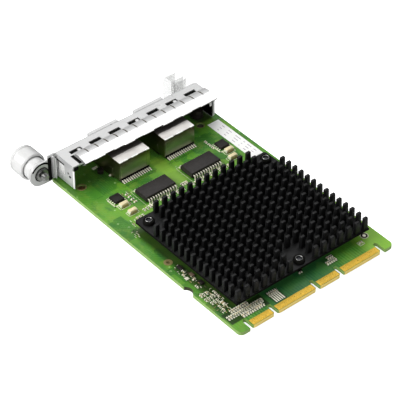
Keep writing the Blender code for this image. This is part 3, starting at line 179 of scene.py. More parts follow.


# Areas of another tone on the board, two of them painted shade: two corners, softness of the border, share
# and colour
BOARD_TONES = (
    ((20.0, 2.0), (48.0, 12.0), 8.0, 0.72, (0.012, 0.1, 0.04)),
    # Painted shadow of the heat sink beside its left edge
    ((5.4, 10.0), (9.0, 68.0), 2.0, 0.85, (0.018, 0.032, 0.008)),
    ((0.8, 5.6), (18.4, 11.6), 0.5, 0.9, (0.014, 0.03, 0.008)),
    ((1.6, 12.6), (6.6, 25.4), 1.0, 0.7, (0.018, 0.05, 0.01)),
    ((3.4, 26.4), (6.6, 42.0), 0.8, 0.65, (0.02, 0.04, 0.01)),
    # Painted shade under the bracket's right corner
    ((67.0, 104.0), (72.5, 113.0), 1.5, 0.8, (0.015, 0.022, 0.01)),
    ((20.6, 4.0), (25.6, 10.4), 0.4, 0.85, (0.016, 0.045, 0.014)),
    ((48.6, 6.6), (53.8, 10.6), 0.4, 0.55, (0.02, 0.08, 0.02)),
    ((68.0, -1.0), (77.0, 60.0), 4.0, 0.85, (0.26, 0.54, 0.05)),
    ((36.0, 80.0), (39.6, 96.0), 2.5, 0.5, (0.3, 0.5, 0.06)),
)
# A dark mark on the board's side: painted shade in a notch of its edge
NOTCH_PAINTED_SHADE = ((0.08, 26.9), (2.0, 32.4))


def board_area(tree, x, y, low, high, soft):
    """One inside a rectangle of the board, falling to nothing across its soft border."""
    inside = None
    for axis, start, end in ((x, low[0], high[0]), (y, low[1], high[1])):
        rise = remap(tree, axis, (start - soft) * MM, start * MM, 0.0, 1.0)
        fall = remap(tree, axis, end * MM, (end + soft) * MM, 1.0, 0.0)
        both = times(tree, rise, fall)
        inside = times(tree, inside, both) if inside else both
    return inside


def board_material():
    """Green solder mask: copper areas, traces, plated vias, bare laminate at the edges, and painted shade
    under the bracket, beside the heat sink and in a notch of the edge.
    """
    made, tree, shader = material("board_mask")
    geometry = tree.nodes.new("ShaderNodeNewGeometry")
    source = tree.nodes.new("ShaderNodeTexCoord").outputs["Object"]
    split = add(tree, "ShaderNodeSeparateXYZ", Vector=source)
    x = calc(tree, "SUBTRACT", split.outputs[0], ORIGIN.x)
    y = calc(tree, "SUBTRACT", split.outputs[1], ORIGIN.y)
    facing = add(tree, "ShaderNodeSeparateXYZ", Vector=geometry.outputs["Normal"])
    level = calc(tree, "ABSOLUTE", facing.outputs[2])
    flat = place(tree, (1, 1, 0))
    cells = add(tree, "ShaderNodeTexVoronoi", distance="CHEBYCHEV", Vector=flat, Scale=120.0)
    cell = add(tree, "ShaderNodeSeparateColor", Color=cells.outputs["Color"])
    pour = remap(tree, cell.outputs[0], 0.35, 0.4, 0.0, 1.0)
    turned_flat = place(tree, (1.6, 0.7, 0))
    drift = remap(tree, noise(tree, flat, 22.0, 3.0), 0.35, 0.65, 0.0, 1.0)
    under = blend(tree, drift, (0.03, 0.14, 0.016), (0.065, 0.235, 0.018))
    over = blend(tree, drift, (0.06, 0.23, 0.02), (0.16, 0.385, 0.03))
    tone = blend(tree, pour, under, over)
    warm = remap(tree, noise(tree, flat, 7.0, 4.0, 0.65), 0.5, 0.72, 0.0, 0.5)
    tone = blend(tree, warm, tone, (0.26, 0.36, 0.045))
    deep = remap(tree, noise(tree, turned_flat, 4.0, 3.0, 0.6), 0.52, 0.68, 0.0, 0.55)
    tone = blend(tree, deep, tone, (0.03, 0.15, 0.03))
    upper = remap(tree, facing.outputs[2], 0.2, 0.5, 0.0, 1.0)
    # Painted shade: the top face darkens towards the bracket's top strip and under it.
    slanted = calc(tree, "ADD", y, times(tree, x, -0.08))
    under_strip_shade = remap(tree, slanted, 93.0 * MM, 101.0 * MM, 0.0, 0.5)
    tone = blend(tree, times(tree, under_strip_shade, upper), tone, (0.035, 0.085, 0.016))
    turned = add(tree, "ShaderNodeMapping", Vector=source)
    turned.inputs["Rotation"].default_value = (0, 0, math.radians(45))
    masks = []
    for vector, size, seed in ((flat, 2.6, 5.0), (turned.outputs[0], 3.4, 9.0)):
        brick = add(tree, "ShaderNodeTexBrick", offset=0.37, squash=1.6, squash_frequency=3,
                    Vector=vector, Scale=1000 / size, Mortar_Size=0.022, Mortar_Smooth=0.2)
        brick.inputs["Brick Width"].default_value = 2.3
        brick.inputs["Row Height"].default_value = 0.31
        shifted = add(tree, "ShaderNodeVectorMath", operation="ADD")
        tree.links.new(flat, shifted.inputs[0])
        shifted.inputs[1].default_value = (seed, seed, 0)
        where = remap(tree, noise(tree, shifted.outputs[0], 9.0, 1.0), 0.5, 0.53, 0.0, 1.0)
        masks.append(times(tree, brick.outputs["Fac"], where))
    lines = calc(tree, "MAXIMUM", masks[0], masks[1])
    past_gold = remap(tree, y, 2.9 * MM, 3.1 * MM, 0, 1)
    near_tabs = times(tree, past_gold, remap(tree, y, 8.6 * MM, 9.6 * MM, 1, 0))
    stripe = calc(tree, "FRACT", calc(tree, "DIVIDE", x, 1.2 * MM))
    stripe = remap(tree, calc(tree, "ABSOLUTE", calc(tree, "SUBTRACT", stripe, 0.5)), 0.2, 0.24, 1.0, 0.0)
    lines = calc(tree, "MAXIMUM", lines, times(tree, stripe, near_tabs))
    tone = blend(tree, times(tree, lines, 0.5), tone, (0.15, 0.42, 0.07))
    vias = add(tree, "ShaderNodeTexVoronoi", Vector=flat, Scale=330.0)
    hole = remap(tree, vias.outputs["Distance"], 0.085, 0.1, 1.0, 0.0)
    ring = calc(tree, "SUBTRACT", remap(tree, vias.outputs["Distance"], 0.14, 0.155, 1.0, 0.0), hole)
    some = remap(tree, noise(tree, flat, 6.0, 1.0), 0.5, 0.54, 0.0, 1.0)
    tone = blend(tree, times(tree, ring, some), tone, (0.34, 0.58, 0.2))
    tone = blend(tree, times(tree, hole, some), tone, (0.01, 0.05, 0.01))
    for low, high, soft, share, shade in BOARD_TONES:
        inside = times(tree, board_area(tree, x, y, low, high, soft), upper)
        tone = blend(tree, times(tree, inside, share), tone, shade)
    fibre = noise(tree, place(tree, (1, 1, 6)), 0.5, 2.0)
    laminate = blend(tree, fibre, (0.2, 0.36, 0.08), (0.36, 0.54, 0.17))
    on_side = remap(tree, level, 0.5, 0.3, 0.0, 1.0)
    tone = blend(tree, on_side, tone, laminate)
    # Painted shade of the notch on the side face
    notch = times(tree, board_area(tree, x, y, *NOTCH_PAINTED_SHADE, 0.1), on_side)
    tone = blend(tree, notch, tone, (0.04, 0.045, 0.015))
    front_edge = remap(tree, y, 0.5 * MM, 0.6 * MM, 1, 0)
    tip = times(tree, front_edge, remap(tree, level, 0.85, 0.75, 0, 1))
    right_of_ear = remap(tree, x, 5.8 * MM, 6.0 * MM, 0, 1)
    inner = times(tree, right_of_ear, remap(tree, x, 70.2 * MM, 70.4 * MM, 1, 0))
    tip = times(tree, tip, inner)
    tone = blend(tree, tip, tone, (0.92, 0.72, 0.22))
    put(tree, shader, "Base Color", tone)
    put(tree, shader, "Roughness", remap(tree, noise(tree, flat, 5.0, 2.0), 0.3, 0.7, 0.28, 0.42))
    shader.inputs["Coat Weight"].default_value = 0.04
    shader.inputs["Coat Roughness"].default_value = 0.12
    shader.inputs["Specular IOR Level"].default_value = 0.2
    height = calc(tree, "ADD", times(tree, lines, 0.5), times(tree, pour, 0.3))
    relief = add(tree, "ShaderNodeBump", Height=height, Strength=0.25, Distance=0.05 * MM)
    put(tree, shader, "Normal", relief.outputs[0])
    return made


BOARD = board_material()
ANODISED = finish("black_anodising", (0.0042, 0.0042, 0.0045), 0.75, 6.0, (0.44, 0.56), 0.0, 0.12, 0.18,
                  specular=0.3)
STEEL = finish("bright_steel", (0.72, 0.72, 0.71), 0.85, 4.0, (0.22, 0.38), 1.0, 0.05, 0.15)
SHEET = finish("nickel_sheet", (0.65, 0.65, 0.645), 0.92, 9.0, (0.26, 0.38), 0.42, 0.05, 0.2, (1, 1, 0.25))
KNOB = finish("knob_nickel", (0.74, 0.74, 0.73), 0.96, 5.0, (0.3, 0.42), 0.12, 0.04, 0.2)
DARK_STEEL = finish("dark_steel", (0.045, 0.045, 0.05), 0.7, 1.5, (0.25, 0.4), 1.0, 0.08, 0.15)
GREY_STEEL = finish("grey_steel", (0.36, 0.36, 0.35), 0.75, 1.2, (0.25, 0.4), 1.0, 0.08, 0.15)
BROWN_STEEL = finish("aged_screw", (0.16, 0.09, 0.035), 0.6, 0.8, (0.35, 0.5), 0.5, 0.08, 0.15)
SPRING = finish("tinned_spring", (0.96, 0.96, 0.95), 0.96, 6.0, (0.24, 0.34), 0.8, 0.03, 0.2, (1, 0.3, 1))
CHIP = finish("chip_black", (0.011, 0.009, 0.0065), 0.7, 1.1, (0.42, 0.6), 0.0, 0.25, 0.12, specular=0.3)
# Dark brown: painted shade on the strip's underside, in its slits and hooks, under the shields' top edges
# and on the right screw, and the seam lines on the shields.
SHADED = finish("painted_shade_and_seam_brown", (0.09, 0.08, 0.055), 0.6, 1.6, (0.5, 0.65), 0.0, 0.1, 0.15, specular=0.2)
MATT = finish("matt_black", (0.006, 0.006, 0.005), 0.7, 2.0, (0.75, 0.9), 0.0, 0.1, 0.12, specular=0.08)
MOULDED = finish("black_moulding", (0.012, 0.012, 0.013), 0.7, 2.0, (0.4, 0.55), 0.0, 0.1, 0.12)
PACKAGE = finish("package_black", (0.017, 0.013, 0.011), 0.6, 1.1, (0.42, 0.6), 0.0, 0.3, 0.12, specular=0.4,
                 edge=(0.07, 0.05, 0.03))
SOLDER = finish("pad_solder", (0.96, 0.93, 0.76), 0.9, 0.7, (0.35, 0.5), 0.1, 0.2, 0.2)
TAN = finish("tan_ceramic", (0.58, 0.42, 0.2), 0.7, 0.6, (0.4, 0.55), 0.0, 0.1, 0.1)
CREAM = finish("cream_ceramic", (0.86, 0.75, 0.45), 0.86, 0.7, (0.4, 0.55), 0.0, 0.1, 0.1)
BROWN_BODY = finish("brown_ceramic", (0.17, 0.12, 0.08), 0.7, 0.6, (0.4, 0.55), 0.0, 0.1, 0.1)
GOLD = finish("contact_gold", (0.72, 0.45, 0.045), 0.8, 0.9, (0.24, 0.38), 0.45, 0.06, 0.1, specular=0.35)
COPPER = finish("ring_copper", (0.3, 0.25, 0.1), 0.75, 0.6, (0.3, 0.45), 0.3, 0.06, 0.1)
SILK = finish("silkscreen", (0.72, 0.75, 0.5), 0.8, 0.6, (0.55, 0.7), 0.0, 0.1, 0.05)
PAPER = finish("label_paper", (0.97, 0.97, 0.95), 0.98, 1.5, (0.55, 0.7), 0.0, 0.08, 0.08)
PRINT = finish("label_print", (0.55, 0.5, 0.56), 0.8, 0.4, (0.6, 0.7), 0.0, 0.02, 0.1)
PAD = finish("thermal_pad", (0.4, 0.42, 0.45), 0.9, 1.0, (0.75, 0.9), 0.0, 0.2, 0.2)
LENS = finish("indicator_lens", (0.75, 0.78, 0.7), 0.9, 0.7, (0.2, 0.3), 0.0, 0.02, 0.1)


def strip_material():
    """Clear plastic with a pale haze and fine lines drawn along the strip."""
    made, tree, shader = material("pull_tab_plastic")
    vector = place(tree)
    cloud = noise(tree, vector, 4.0, 3.0)
    tone = blend(tree, cloud, (0.56, 0.57, 0.55), (0.62, 0.625, 0.61))
    wave = add(tree, "ShaderNodeTexWave", wave_type="BANDS", bands_direction="X", Vector=vector,
               Scale=1000 / 9.0)
    put(tree, shader, "Base Color", tone)
    put(tree, shader, "Roughness", remap(tree, cloud, 0.3, 0.7, 0.25, 0.36))
    shader.inputs["Transmission Weight"].default_value = 0.1
    shader.inputs["IOR"].default_value = 1.2
    shader.inputs["Alpha"].default_value = 0.34
    relief = add(tree, "ShaderNodeBump", Height=wave.outputs["Fac"], Strength=0.05, Distance=0.2 * MM)
    put(tree, shader, "Normal", relief.outputs[0])
    return made


CLEAR = strip_material()


def shield_material():
    """Nickel shield with painted light: bright on top up to a painted shadow of the springs, and on its
    walls a painted green reflection of the board with painted shade, browner towards the top and on the left
    sides.
    """
    made, tree, shader = material("shield_nickel_painted_light")
    vector = place(tree)
    source = tree.nodes.new("ShaderNodeTexCoord").outputs["Object"]
    normal = tree.nodes.new("ShaderNodeNewGeometry").outputs["Normal"]
    split = add(tree, "ShaderNodeSeparateXYZ", Vector=source)
    facing = add(tree, "ShaderNodeSeparateXYZ", Vector=normal)
    drift = remap(tree, noise(tree, vector, 5.0, 4.0), 0.3, 0.7, 0.0, 1.0)
    tone = blend(tree, drift, (0.66, 0.63, 0.6), (0.78, 0.76, 0.73))
    wall = remap(tree, calc(tree, "ABSOLUTE", facing.outputs[2]), 0.3, 0.6, 1.0, 0.0)
    height = calc(tree, "SUBTRACT", split.outputs[2], ORIGIN.z)
    painted_shade_height = calc(tree, "ADD", height, times(tree, drift, 1.4 * MM))
    upper = remap(tree, painted_shade_height, 5.4 * MM, 9.0 * MM, 0.12, 0.88)
    # Walls: a painted green reflection of the board below them.
    tone = blend(tree, times(tree, wall, 0.55), tone, (0.26, 0.32, 0.16))
    # Walls: painted shade, browner towards the top.
    tone = blend(tree, times(tree, wall, upper), tone, (0.09, 0.06, 0.03))
    # Left sides: painted shade, browner.
    left = times(tree, remap(tree, facing.outputs[0], -0.9, -0.6, 0.7, 0.0), wall)
    tone = blend(tree, left, tone, (0.32, 0.27, 0.13))
    # Top: a painted shadow of the springs, dark from about 4.7 mm past the shield's rear edge.
    depth = calc(tree, "SUBTRACT", split.outputs[1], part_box("jack_shield_left")[0].y)
    depth = calc(tree, "ADD", depth, times(tree, drift, 0.5 * MM))
    shade = remap(tree, depth, 4.5 * MM, 4.9 * MM, 0.0, 0.9)
    shade = times(tree, shade, remap(tree, wall, 0.0, 1.0, 1.0, 0.0))
    tone = blend(tree, shade, tone, (0.03, 0.025, 0.02))
    put(tree, shader, "Base Color", tone)
    put(tree, shader, "Roughness", remap(tree, wall, 0.0, 1.0, 0.42, 0.34))
    put(tree, shader, "Metallic", remap(tree, wall, 0.0, 1.0, 0.4, 1.0))
    relief = add(tree, "ShaderNodeBump", Height=noise(tree, vector, 0.3, 2.0), Strength=0.03,
                 Distance=0.05 * MM)
    put(tree, shader, "Normal", relief.outputs[0])
    return made


CHROME = shield_material()


# Shapes

def box(bm, low, high, index=0, bevel=0.0, segments=1, taper=1.0):
    """A block between two corners, with its edges rounded and its upper face drawn in."""
    low, high = Vector(low), Vector(high)
    made = bmesh.ops.create_cube(bm, size=1.0)
    verts = made["verts"]
    top = [vert for vert in verts if vert.co.z > 0]
    bmesh.ops.scale(bm, vec=(taper, taper, 1.0), verts=top)
    bmesh.ops.scale(bm, vec=high - low, verts=verts)
    bmesh.ops.translate(bm, vec=(low + high) / 2, verts=verts)
    faces = list({face for vert in verts for face in vert.link_faces})
    for face in faces:
        face.material_index = index
    if bevel:
        edges = list({edge for vert in verts for edge in vert.link_edges})
        bmesh.ops.bevel(bm, geom=edges, offset=bevel, segments=segments, affect="EDGES",
                        profile=0.5, material=-1)


def prism(bm, outline, depth, index=0, bevel=0.0, segments=1, turn=None):
    """An outline in X and Y, made thick along Z, then turned into its place."""
    before = set(bm.verts)
    ring = [bm.verts.new((x, y, depth[0])) for x, y in outline]
    face = bm.faces.new(ring)
    swept = bmesh.ops.extrude_face_region(bm, geom=[face])
    lifted = [item for item in swept["geom"] if isinstance(item, bmesh.types.BMVert)]
    bmesh.ops.translate(bm, vec=(0, 0, depth[1] - depth[0]), verts=lifted)
    verts = [vert for vert in bm.verts if vert not in before]
    faces = list({item for vert in verts for item in vert.link_faces})
    bmesh.ops.recalc_face_normals(bm, faces=faces)
    for item in faces:
        item.material_index = index
    if bevel:
        sharp = [edge for edge in {edge for vert in verts for edge in vert.link_edges}
                 if edge.calc_face_angle(0) > math.radians(30)]
        bmesh.ops.bevel(bm, geom=sharp, offset=bevel, segments=segments, affect="EDGES",
                        profile=0.5, material=-1)
        verts = [vert for vert in bm.verts if vert not in before]
    if turn:
        bmesh.ops.transform(bm, matrix=turn, verts=verts)


def lathe(bm, profile, segments, turn=None, index=0):
    """A solid of revolution from (radius, height) points."""
    before = set(bm.verts)
    verts = [bm.verts.new((radius, 0, height)) for radius, height in profile]
    edges = [bm.edges.new(pair) for pair in zip(verts, verts[1:])]
    bmesh.ops.spin(bm, geom=verts + edges, cent=(0, 0, 0), axis=(0, 0, 1), dvec=(0, 0, 0),
                   angle=math.tau, steps=segments, use_merge=True, use_duplicate=False)
    fresh = [vert for vert in bm.verts if vert not in before]
    bmesh.ops.remove_doubles(bm, verts=fresh, dist=0.0005)
    fresh = [vert for vert in bm.verts if vert not in before]
    faces = list({item for vert in fresh for item in vert.link_faces})
    bmesh.ops.recalc_face_normals(bm, faces=faces)
    for face in faces:
        face.material_index = index
    if turn:
        bmesh.ops.transform(bm, matrix=turn, verts=fresh)


def arc(centre, radius, start, end, steps):
    """Points on an arc, from a start to an end in degrees."""
    points = []
    for step in range(steps + 1):
        angle = math.radians(start + (end - start) * step / steps)
        points.append((centre[0] + radius * math.cos(angle), centre[1] + radius * math.sin(angle)))
    return points


def ribbon(path, thickness):
    """The closed section of a strip that follows a path, thickened on its left side."""
    outer = []
    for index, point in enumerate(path):
        before = path[max(index - 1, 0)]
        after = path[min(index + 1, len(path) - 1)]
        along = Vector((after[0] - before[0], after[1] - before[1])).normalized()
        outer.append((point[0] - along.y * thickness, point[1] + along.x * thickness))
    return list(path) + outer[::-1]


# Turns for an outline drawn in Y and Z, one drawn in X and Z, a disc that faces along X, and
# the thumbscrew's axis
YZ = Matrix(((0, 0, 1, 0), (1, 0, 0, 0), (0, 1, 0, 0), (0, 0, 0, 1)))
XZ = Matrix(((1, 0, 0, 0), (0, 0, -1, 0), (0, 1, 0, 0), (0, 0, 0, 1)))
ALONG_X = Matrix(((0, 0, 1, 0), (0, 1, 0, 0), (-1, 0, 0, 0), (0, 0, 0, 1)))
SCREW = Matrix.Translation((SCREW_X, 0, SCREW_Z)) @ Matrix.Rotation(math.radians(-90), 4, "X")


def piece(name, bm, materials, body="card", smooth=40):
    """The finished piece, in the frame, riding on its body."""
    bmesh.ops.scale(bm, vec=(MM, MM, MM), verts=bm.verts)
    bmesh.ops.translate(bm, vec=ORIGIN, verts=bm.verts)
    mesh = bpy.data.meshes.new(name)
    bm.to_mesh(mesh)
    bm.free()
    for item in materials:
        mesh.materials.append(item)
    mesh.shade_smooth()
    mesh.set_sharp_from_angle(angle=math.radians(smooth))
    made = bpy.data.objects.new(name, mesh)
    bpy.context.scene.collection.objects.link(made)
    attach(made, body)
    return made


def dress(node, made):
    """A new material on a solid of the frame."""
    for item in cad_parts[node].material_slots:
        item.material = made


# Heat sink

PIN_X, PIN_Y = 2.3, 1.5
PITCH_X, PITCH_Y = 4.185, 3.61
FIRST_X, FIRST_Y = 7.5, 10.45
COLUMNS, ROWS = 16, 17
SINK_LOW, SINK_HIGH = in_millimetres(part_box("heatsink"))
SINK_BASE = SINK_LOW.z + 0.9
SINK_CORNER = 1.3


def sink_is_open(column, row):
    """Where pins are left out, round the three push pins."""
    mirrored = min(column, COLUMNS - 1 - column)
    return (mirrored < 2 and row >= ROWS - 3) or (column in (7, 8) and row < 3)


def build_heatsink():
    """One block of tapered pins over a thin base."""
    bm = bmesh.new()
    low, high, right = SINK_LOW, SINK_HIGH, SINK_HIGH.x - 0.2
    outline = [(low.x, low.y), (right, low.y)]
    outline += arc((right - SINK_CORNER, high.y - SINK_CORNER), SINK_CORNER, 0, 90, 8)
    outline += arc((low.x + SINK_CORNER, high.y - SINK_CORNER), SINK_CORNER, 90, 180, 8)
    prism(bm, outline, (low.z, SINK_BASE), bevel=0.1, segments=2)
    bm.normal_update()
    for face in bm.faces:
        if abs(face.normal.z) < 0.95:
            face.material_index = 1
    for row in range(ROWS):
        for column in range(COLUMNS):
            if sink_is_open(column, row):
                continue
            x, y = FIRST_X + column * PITCH_X, FIRST_Y + row * PITCH_Y
            box(bm, (x - PIN_X / 2, y - PIN_Y / 2, SINK_BASE - 0.6),
                (x + PIN_X / 2, y + PIN_Y / 2, high.z), bevel=0.2, segments=2, taper=0.84)
    made = piece("heatsink_block", bm, [ANODISED, MATT], smooth=50)
    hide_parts("heatsink")


def build_push_pins():
    """Dark turned pins with a bright ring round a sunk centre."""
    for name in ("left", "right", "front"):
        low, high = in_millimetres(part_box(f"push_pin_{name}"))
        here = Matrix.Translation(((low.x + high.x) / 2, (low.y + high.y) / 2, 0))
        top = high.z - 1.1
        under = -BOARD_THICKNESS - 0.3
        bm = bmesh.new()
        lathe(bm, [
            (0.0, top - 0.7), (1.0, top - 0.65), (1.15, top - 0.25), (1.25, top - 0.15),
            (2.05, top - 0.2), (2.25, top - 0.4), (2.3, top - 0.6), (2.3, SINK_BASE),
            (2.2, SINK_BASE - 0.1), (1.1, SINK_BASE - 0.1), (1.1, under), (1.9, under),
            (1.75, under - 0.3), (0.77, low.z), (0.0, low.z),
        ], 32, here)
        lathe(bm, [(1.18, top - 0.3), (1.18, top - 0.1), (1.24, top - 0.04), (1.3, top - 0.04),
                   (1.38, top - 0.12), (1.38, top - 0.3), (1.18, top - 0.3)], 32, here, 1)
        for face in bm.faces:
            if (face.calc_center_median() - here.translation).xy.length > 1.5:
                face.material_index = 2
        made = piece(f"push_pin_{name}_turned", bm, [DARK_STEEL, GREY_STEEL, MATT])
        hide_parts(f"push_pin_{name}")


# Board details

TAB_CONTACTS = (14, 28, 14, 28)
CONTACT_PITCH, TAB_MARGIN, KEY_SLOT = 0.6, 0.95, 1.75
HOLES = ((4.0, 46.4), (70.7, 10.8))


def tab_lefts():
    """The left edge and the number of contacts of each tab."""
    left = (BOARD_WIDTH - (sum(TAB_CONTACTS) * CONTACT_PITCH + 8 * TAB_MARGIN + 3 * KEY_SLOT)) / 2
    for count in TAB_CONTACTS:
        yield left, count
        left += count * CONTACT_PITCH + 2 * TAB_MARGIN + KEY_SLOT


def build_contacts():
    """Gold contacts on both faces of the four tabs; the outer ones reach the tab's edge."""
    bm = bmesh.new()
    for left, count in tab_lefts():
        for index in range(count):
            x = left + TAB_MARGIN + (index + 0.5) * CONTACT_PITCH
            low_x = x - (TAB_MARGIN if index == 0 else 0.27)
            high_x = x + (TAB_MARGIN if index == count - 1 else 0.27)
            for low_z, high_z in ((-0.02, 0.075), (-BOARD_THICKNESS - 0.045, -BOARD_THICKNESS + 0.02)):
                box(bm, (low_x, 0.55, low_z), (high_x, 3.45, high_z), bevel=0.025)
    piece("edge_contacts", bm, [GOLD])


def ring(bm, x, y, inner, outer, low, high, index=0):
    """A flat ring round an upright axis."""
    lathe(bm, [(inner, low), (inner, high), (outer, high), (outer, low), (inner, low)], 28,
          Matrix.Translation((x, y, 0)), index)


def build_rings():
    """Plated rings round the board's holes and below the bracket's screws."""
    bm = bmesh.new()
    for (x, y), outer, inner in zip(HOLES, (0, 1), (0, 2)):
        for low_z, high_z in ((0.0, 0.04), (-BOARD_THICKNESS - 0.04, -BOARD_THICKNESS)):
            ring(bm, x, y, 1.35, 1.75, low_z, high_z, outer)
        ring(bm, x, y, 0.7, 1.4, -BOARD_THICKNESS, 0.03, inner)
    lathe(bm, [(0.0, 0.04), (0.55, 0.04), (0.75, 0.02), (0.75, -BOARD_THICKNESS),
               (0.0, -BOARD_THICKNESS)], 24, Matrix.Translation((*HOLES[1], 0)), 3)
    ring(bm, 5.5, 101.9, 1.58, 2.1, 0.0, 0.04)
    ring(bm, 66.1, 102.4, 1.58, 1.85, 0.0, 0.04)
    piece("plated_rings", bm, [COPPER, SILK, MATT, SOLDER])


def frame_line(bm, low, high, width):
    """A thin printed rectangle on the board."""
    (x0, y0), (x1, y1) = low, high
    for a, b in (((x0, y0), (x1, y0 + width)), ((x0, y1 - width), (x1, y1)),
                 ((x0, y0), (x0 + width, y1)), ((x1 - width, y0), (x1, y1))):
        box(bm, (*a, 0.0), (*b, 0.02))


def build_silkscreen():
    """Plain printed frames on the board."""
    bm = bmesh.new()
    for _, centre in PORTS:
        frame_line(bm, (centre - 8.2, 76.6), (centre + 8.2, 87.3), 0.14)
        frame_line(bm, (centre - 8.0, 91.4), (centre + 8.0, 91.55), 0.15)
    for _, (x, y) in SMALL_CHIPS:
        frame_line(bm, (x - 3.2, y - 3.1), (x + 3.0, y + 2.8), 0.2)
        box(bm, (x - 3.5, y - 3.4, 0.0), (x - 2.9, y + 1.8, 0.025))
        box(bm, (x - 3.5, y - 3.4, 0.0), (x + 1.6, y - 2.8, 0.025))
    for x, y in ((11.4, 82.6), (11.6, 77.4), (64.3, 82.4), (62.6, 78.2)):
        frame_line(bm, (x - 2.5, y - 1.5), (x + 2.5, y + 1.4), 0.3)
    frame_line(bm, (65.4, 7.2), (68.0, 9.6), 0.35)
    piece("silkscreen_lines", bm, [SILK])


def chip_part(bm, x, y, length, width, height, along_y, body):
    """A small soldered part: body in the middle, tinned ends, solder on its pads."""
    half_l, half_w = length / 2, width / 2
    cap = length * 0.3

    def put_box(a0, b0, a1, b1, z0, z1, index, bevel):
        if along_y:
            box(bm, (x + b0, y + a0, z0), (x + b1, y + a1, z1), index, bevel)
        else:
            box(bm, (x + a0, y + b0, z0), (x + a1, y + b1, z1), index, bevel)

    put_box(-half_l + cap, -half_w, half_l - cap, half_w, 0.02, height, body, 0.04)
    for side in (-1, 1):
        a0, a1 = sorted((side * half_l, side * (half_l - cap - 0.02)))
        put_box(a0, -half_w - 0.03, a1, half_w + 0.03, 0.0, height + 0.03, 0, 0.06)
        a0, a1 = sorted((side * (half_l + 0.3), side * (half_l - cap)))
        put_box(a0, -half_w - 0.1, a1, half_w + 0.1, 0.0, 0.16, 0, 0.05)


# First centre, number, steps and length of each row; the long side lies along Y where told
SMALL_ROWS = (
    (4.7, 10.9, 8, 1.05, 0.0, 1.1, True),
    (1.575, 8.75, 16, 1.05, 0.0, 1.1, True),
    (6.8, 6.6, 10, 1.05, 0.0, 1.1, True),
    (21.175, 8.95, 5, 0.92, 0.0, 1.1, True),
    (49.175, 7.95, 5, 1.0, 0.0, 1.1, True),
    (51.2, 10.0, 3, 1.0, 0.0, 1.1, True),
    (66.7, 8.4, 1, 0.0, 0.0, 1.1, False),
    (38.2, 10.6, 1, 0.0, 0.0, 1.1, False),
    (3.775, 36.95, 2, 1.3, 1.9, 1.1, True),
    (5.5, 32.9, 1, 0.0, 0.0, 1.0, False),
    (3.7, 29.2, 1, 0.0, 0.0, 1.2, True),
    (1.575, 24.15, 3, 1.3, 0.0, 1.1, True),
    (1.575, 21.35, 4, 1.3, 0.0, 1.1, True),
    (2.275, 18.75, 3, 1.3, 0.0, 1.1, True),
    (6.8, 22.9, 2, -0.2, -2.2, 1.1, True),
    (5.4, 16.4, 1, 0.0, 0.0, 1.9, True),
    (3.275, 13.35, 2, 0.0, 2.2, 1.1, True),
    (16.3, 81.6, 4, 0.0, 1.85, 1.0, False),
    (15.875, 75.55, 5, 1.5, 0.0, 1.1, True),
    (24.6, 75.6, 8, 1.55, 0.0, 1.1, True),
    (40.2, 75.6, 14, 1.5, 0.0, 1.1, True),
    (36.6, 78.0, 3, 1.1, 0.0, 1.2, True),
    (10.8, 73.3, 3, 1.4, 0.0, 1.1, True),
    (19.0, 100.4, 1, 0.0, 0.0, 1.3, False),
    (60.6, 88.0, 3, 0.0, 2.2, 1.1, True),
)
# Middle, size in X, in Y and in height, and colour of the larger blocks
BLOCKS = ((5.3, 41.0, 1.5, 2.6, 0.8, 3), (6.3, 29.8, 1.6, 2.2, 0.8, 3), (6.2, 35.2, 1.3, 2.0, 0.8, 2),
          (3.7, 35.0, 1.5, 1.5, 0.15, 0), (19.4, 76.0, 1.8, 1.5, 0.15, 0), (16.6, 107.8, 2.4, 1.0, 0.5, 0))
# First X, number, step, nearest and farthest Y of the long solder pads
PAD_ROWS = ((1.575, 16, 1.05, 7.6, 9.9), (6.8, 10, 1.05, 5.5, 7.3), (4.7, 8, 1.05, 10.2, 11.9),
            (21.2, 5, 0.92, 4.2, 10.3), (49.2, 5, 1.0, 7.0, 9.0), (51.2, 3, 1.0, 9.3, 10.8))
# Two corners and number of crumb-sized parts
CLUSTERS = (((1.4, 11.8), (6.6, 18.0), 30), ((1.6, 18.0), (7.2, 26.0), 40),
            ((3.2, 27.0), (6.4, 43.0), 34), ((13.6, 81.0), (18.2, 88.5), 14),
            ((7.2, 69.9), (12.5, 74.5), 12), ((3.4, 64.5), (5.8, 69.0), 8))


def build_small_parts():
    """Rows of resistors and capacitors, larger blocks, long pads, crumbs and two round parts."""
    bm = bmesh.new()
    for start_x, start_y, count, step_x, step_y, length, along_y in SMALL_ROWS:
        for index in range(count):
            body = random.choice((1, 1, 2, 2, 3))
            chip_part(bm, start_x + index * step_x, start_y + index * step_y, length, length * 0.5,
                      0.53 if body == 3 else 0.57, along_y, body)
    for x, y, size_x, size_y, height, index in BLOCKS:
        box(bm, (x - size_x / 2, y - size_y / 2, 0.0), (x + size_x / 2, y + size_y / 2, height),
            index, 0.08, 2)
    lathe(bm, [(0.0, 3.6), (1.9, 3.6), (2.3, 3.3), (2.45, 2.2), (2.45, 1.0), (2.7, 0.8), (2.7, 0.0)], 28,
          Matrix.Translation((69.0, 108.2, 0)), 3)
    for start, count, step, near, far in PAD_ROWS:
        for index in range(count):
            x = start + index * step
            box(bm, (x - 0.26, near, 0.0), (x + 0.26, far, 0.12), 0, 0.03)
    for low, high, count in CLUSTERS:
        for _ in range(count):
            x, y = random.uniform(low[0], high[0]), random.uniform(low[1], high[1])
            a, b = random.choice(((0.08, 0.5), (0.42, 0.08), (0.1, 0.36), (0.08, 0.6)))
            height = random.uniform(0.05, 0.3)
            box(bm, (x - a, y - b, 0.0), (x + a, y + b, height), random.choice((0, 4, 4, 1, 2, 3)), 0.03)
    lathe(bm, [(0.0, 1.9), (1.1, 1.9), (1.3, 1.75), (1.3, 0.0)], 24, Matrix.Translation((16.8, 104.4, 0)), 3)
    piece("small_parts", bm, [SOLDER, TAN, BROWN_BODY, PACKAGE, SILK])


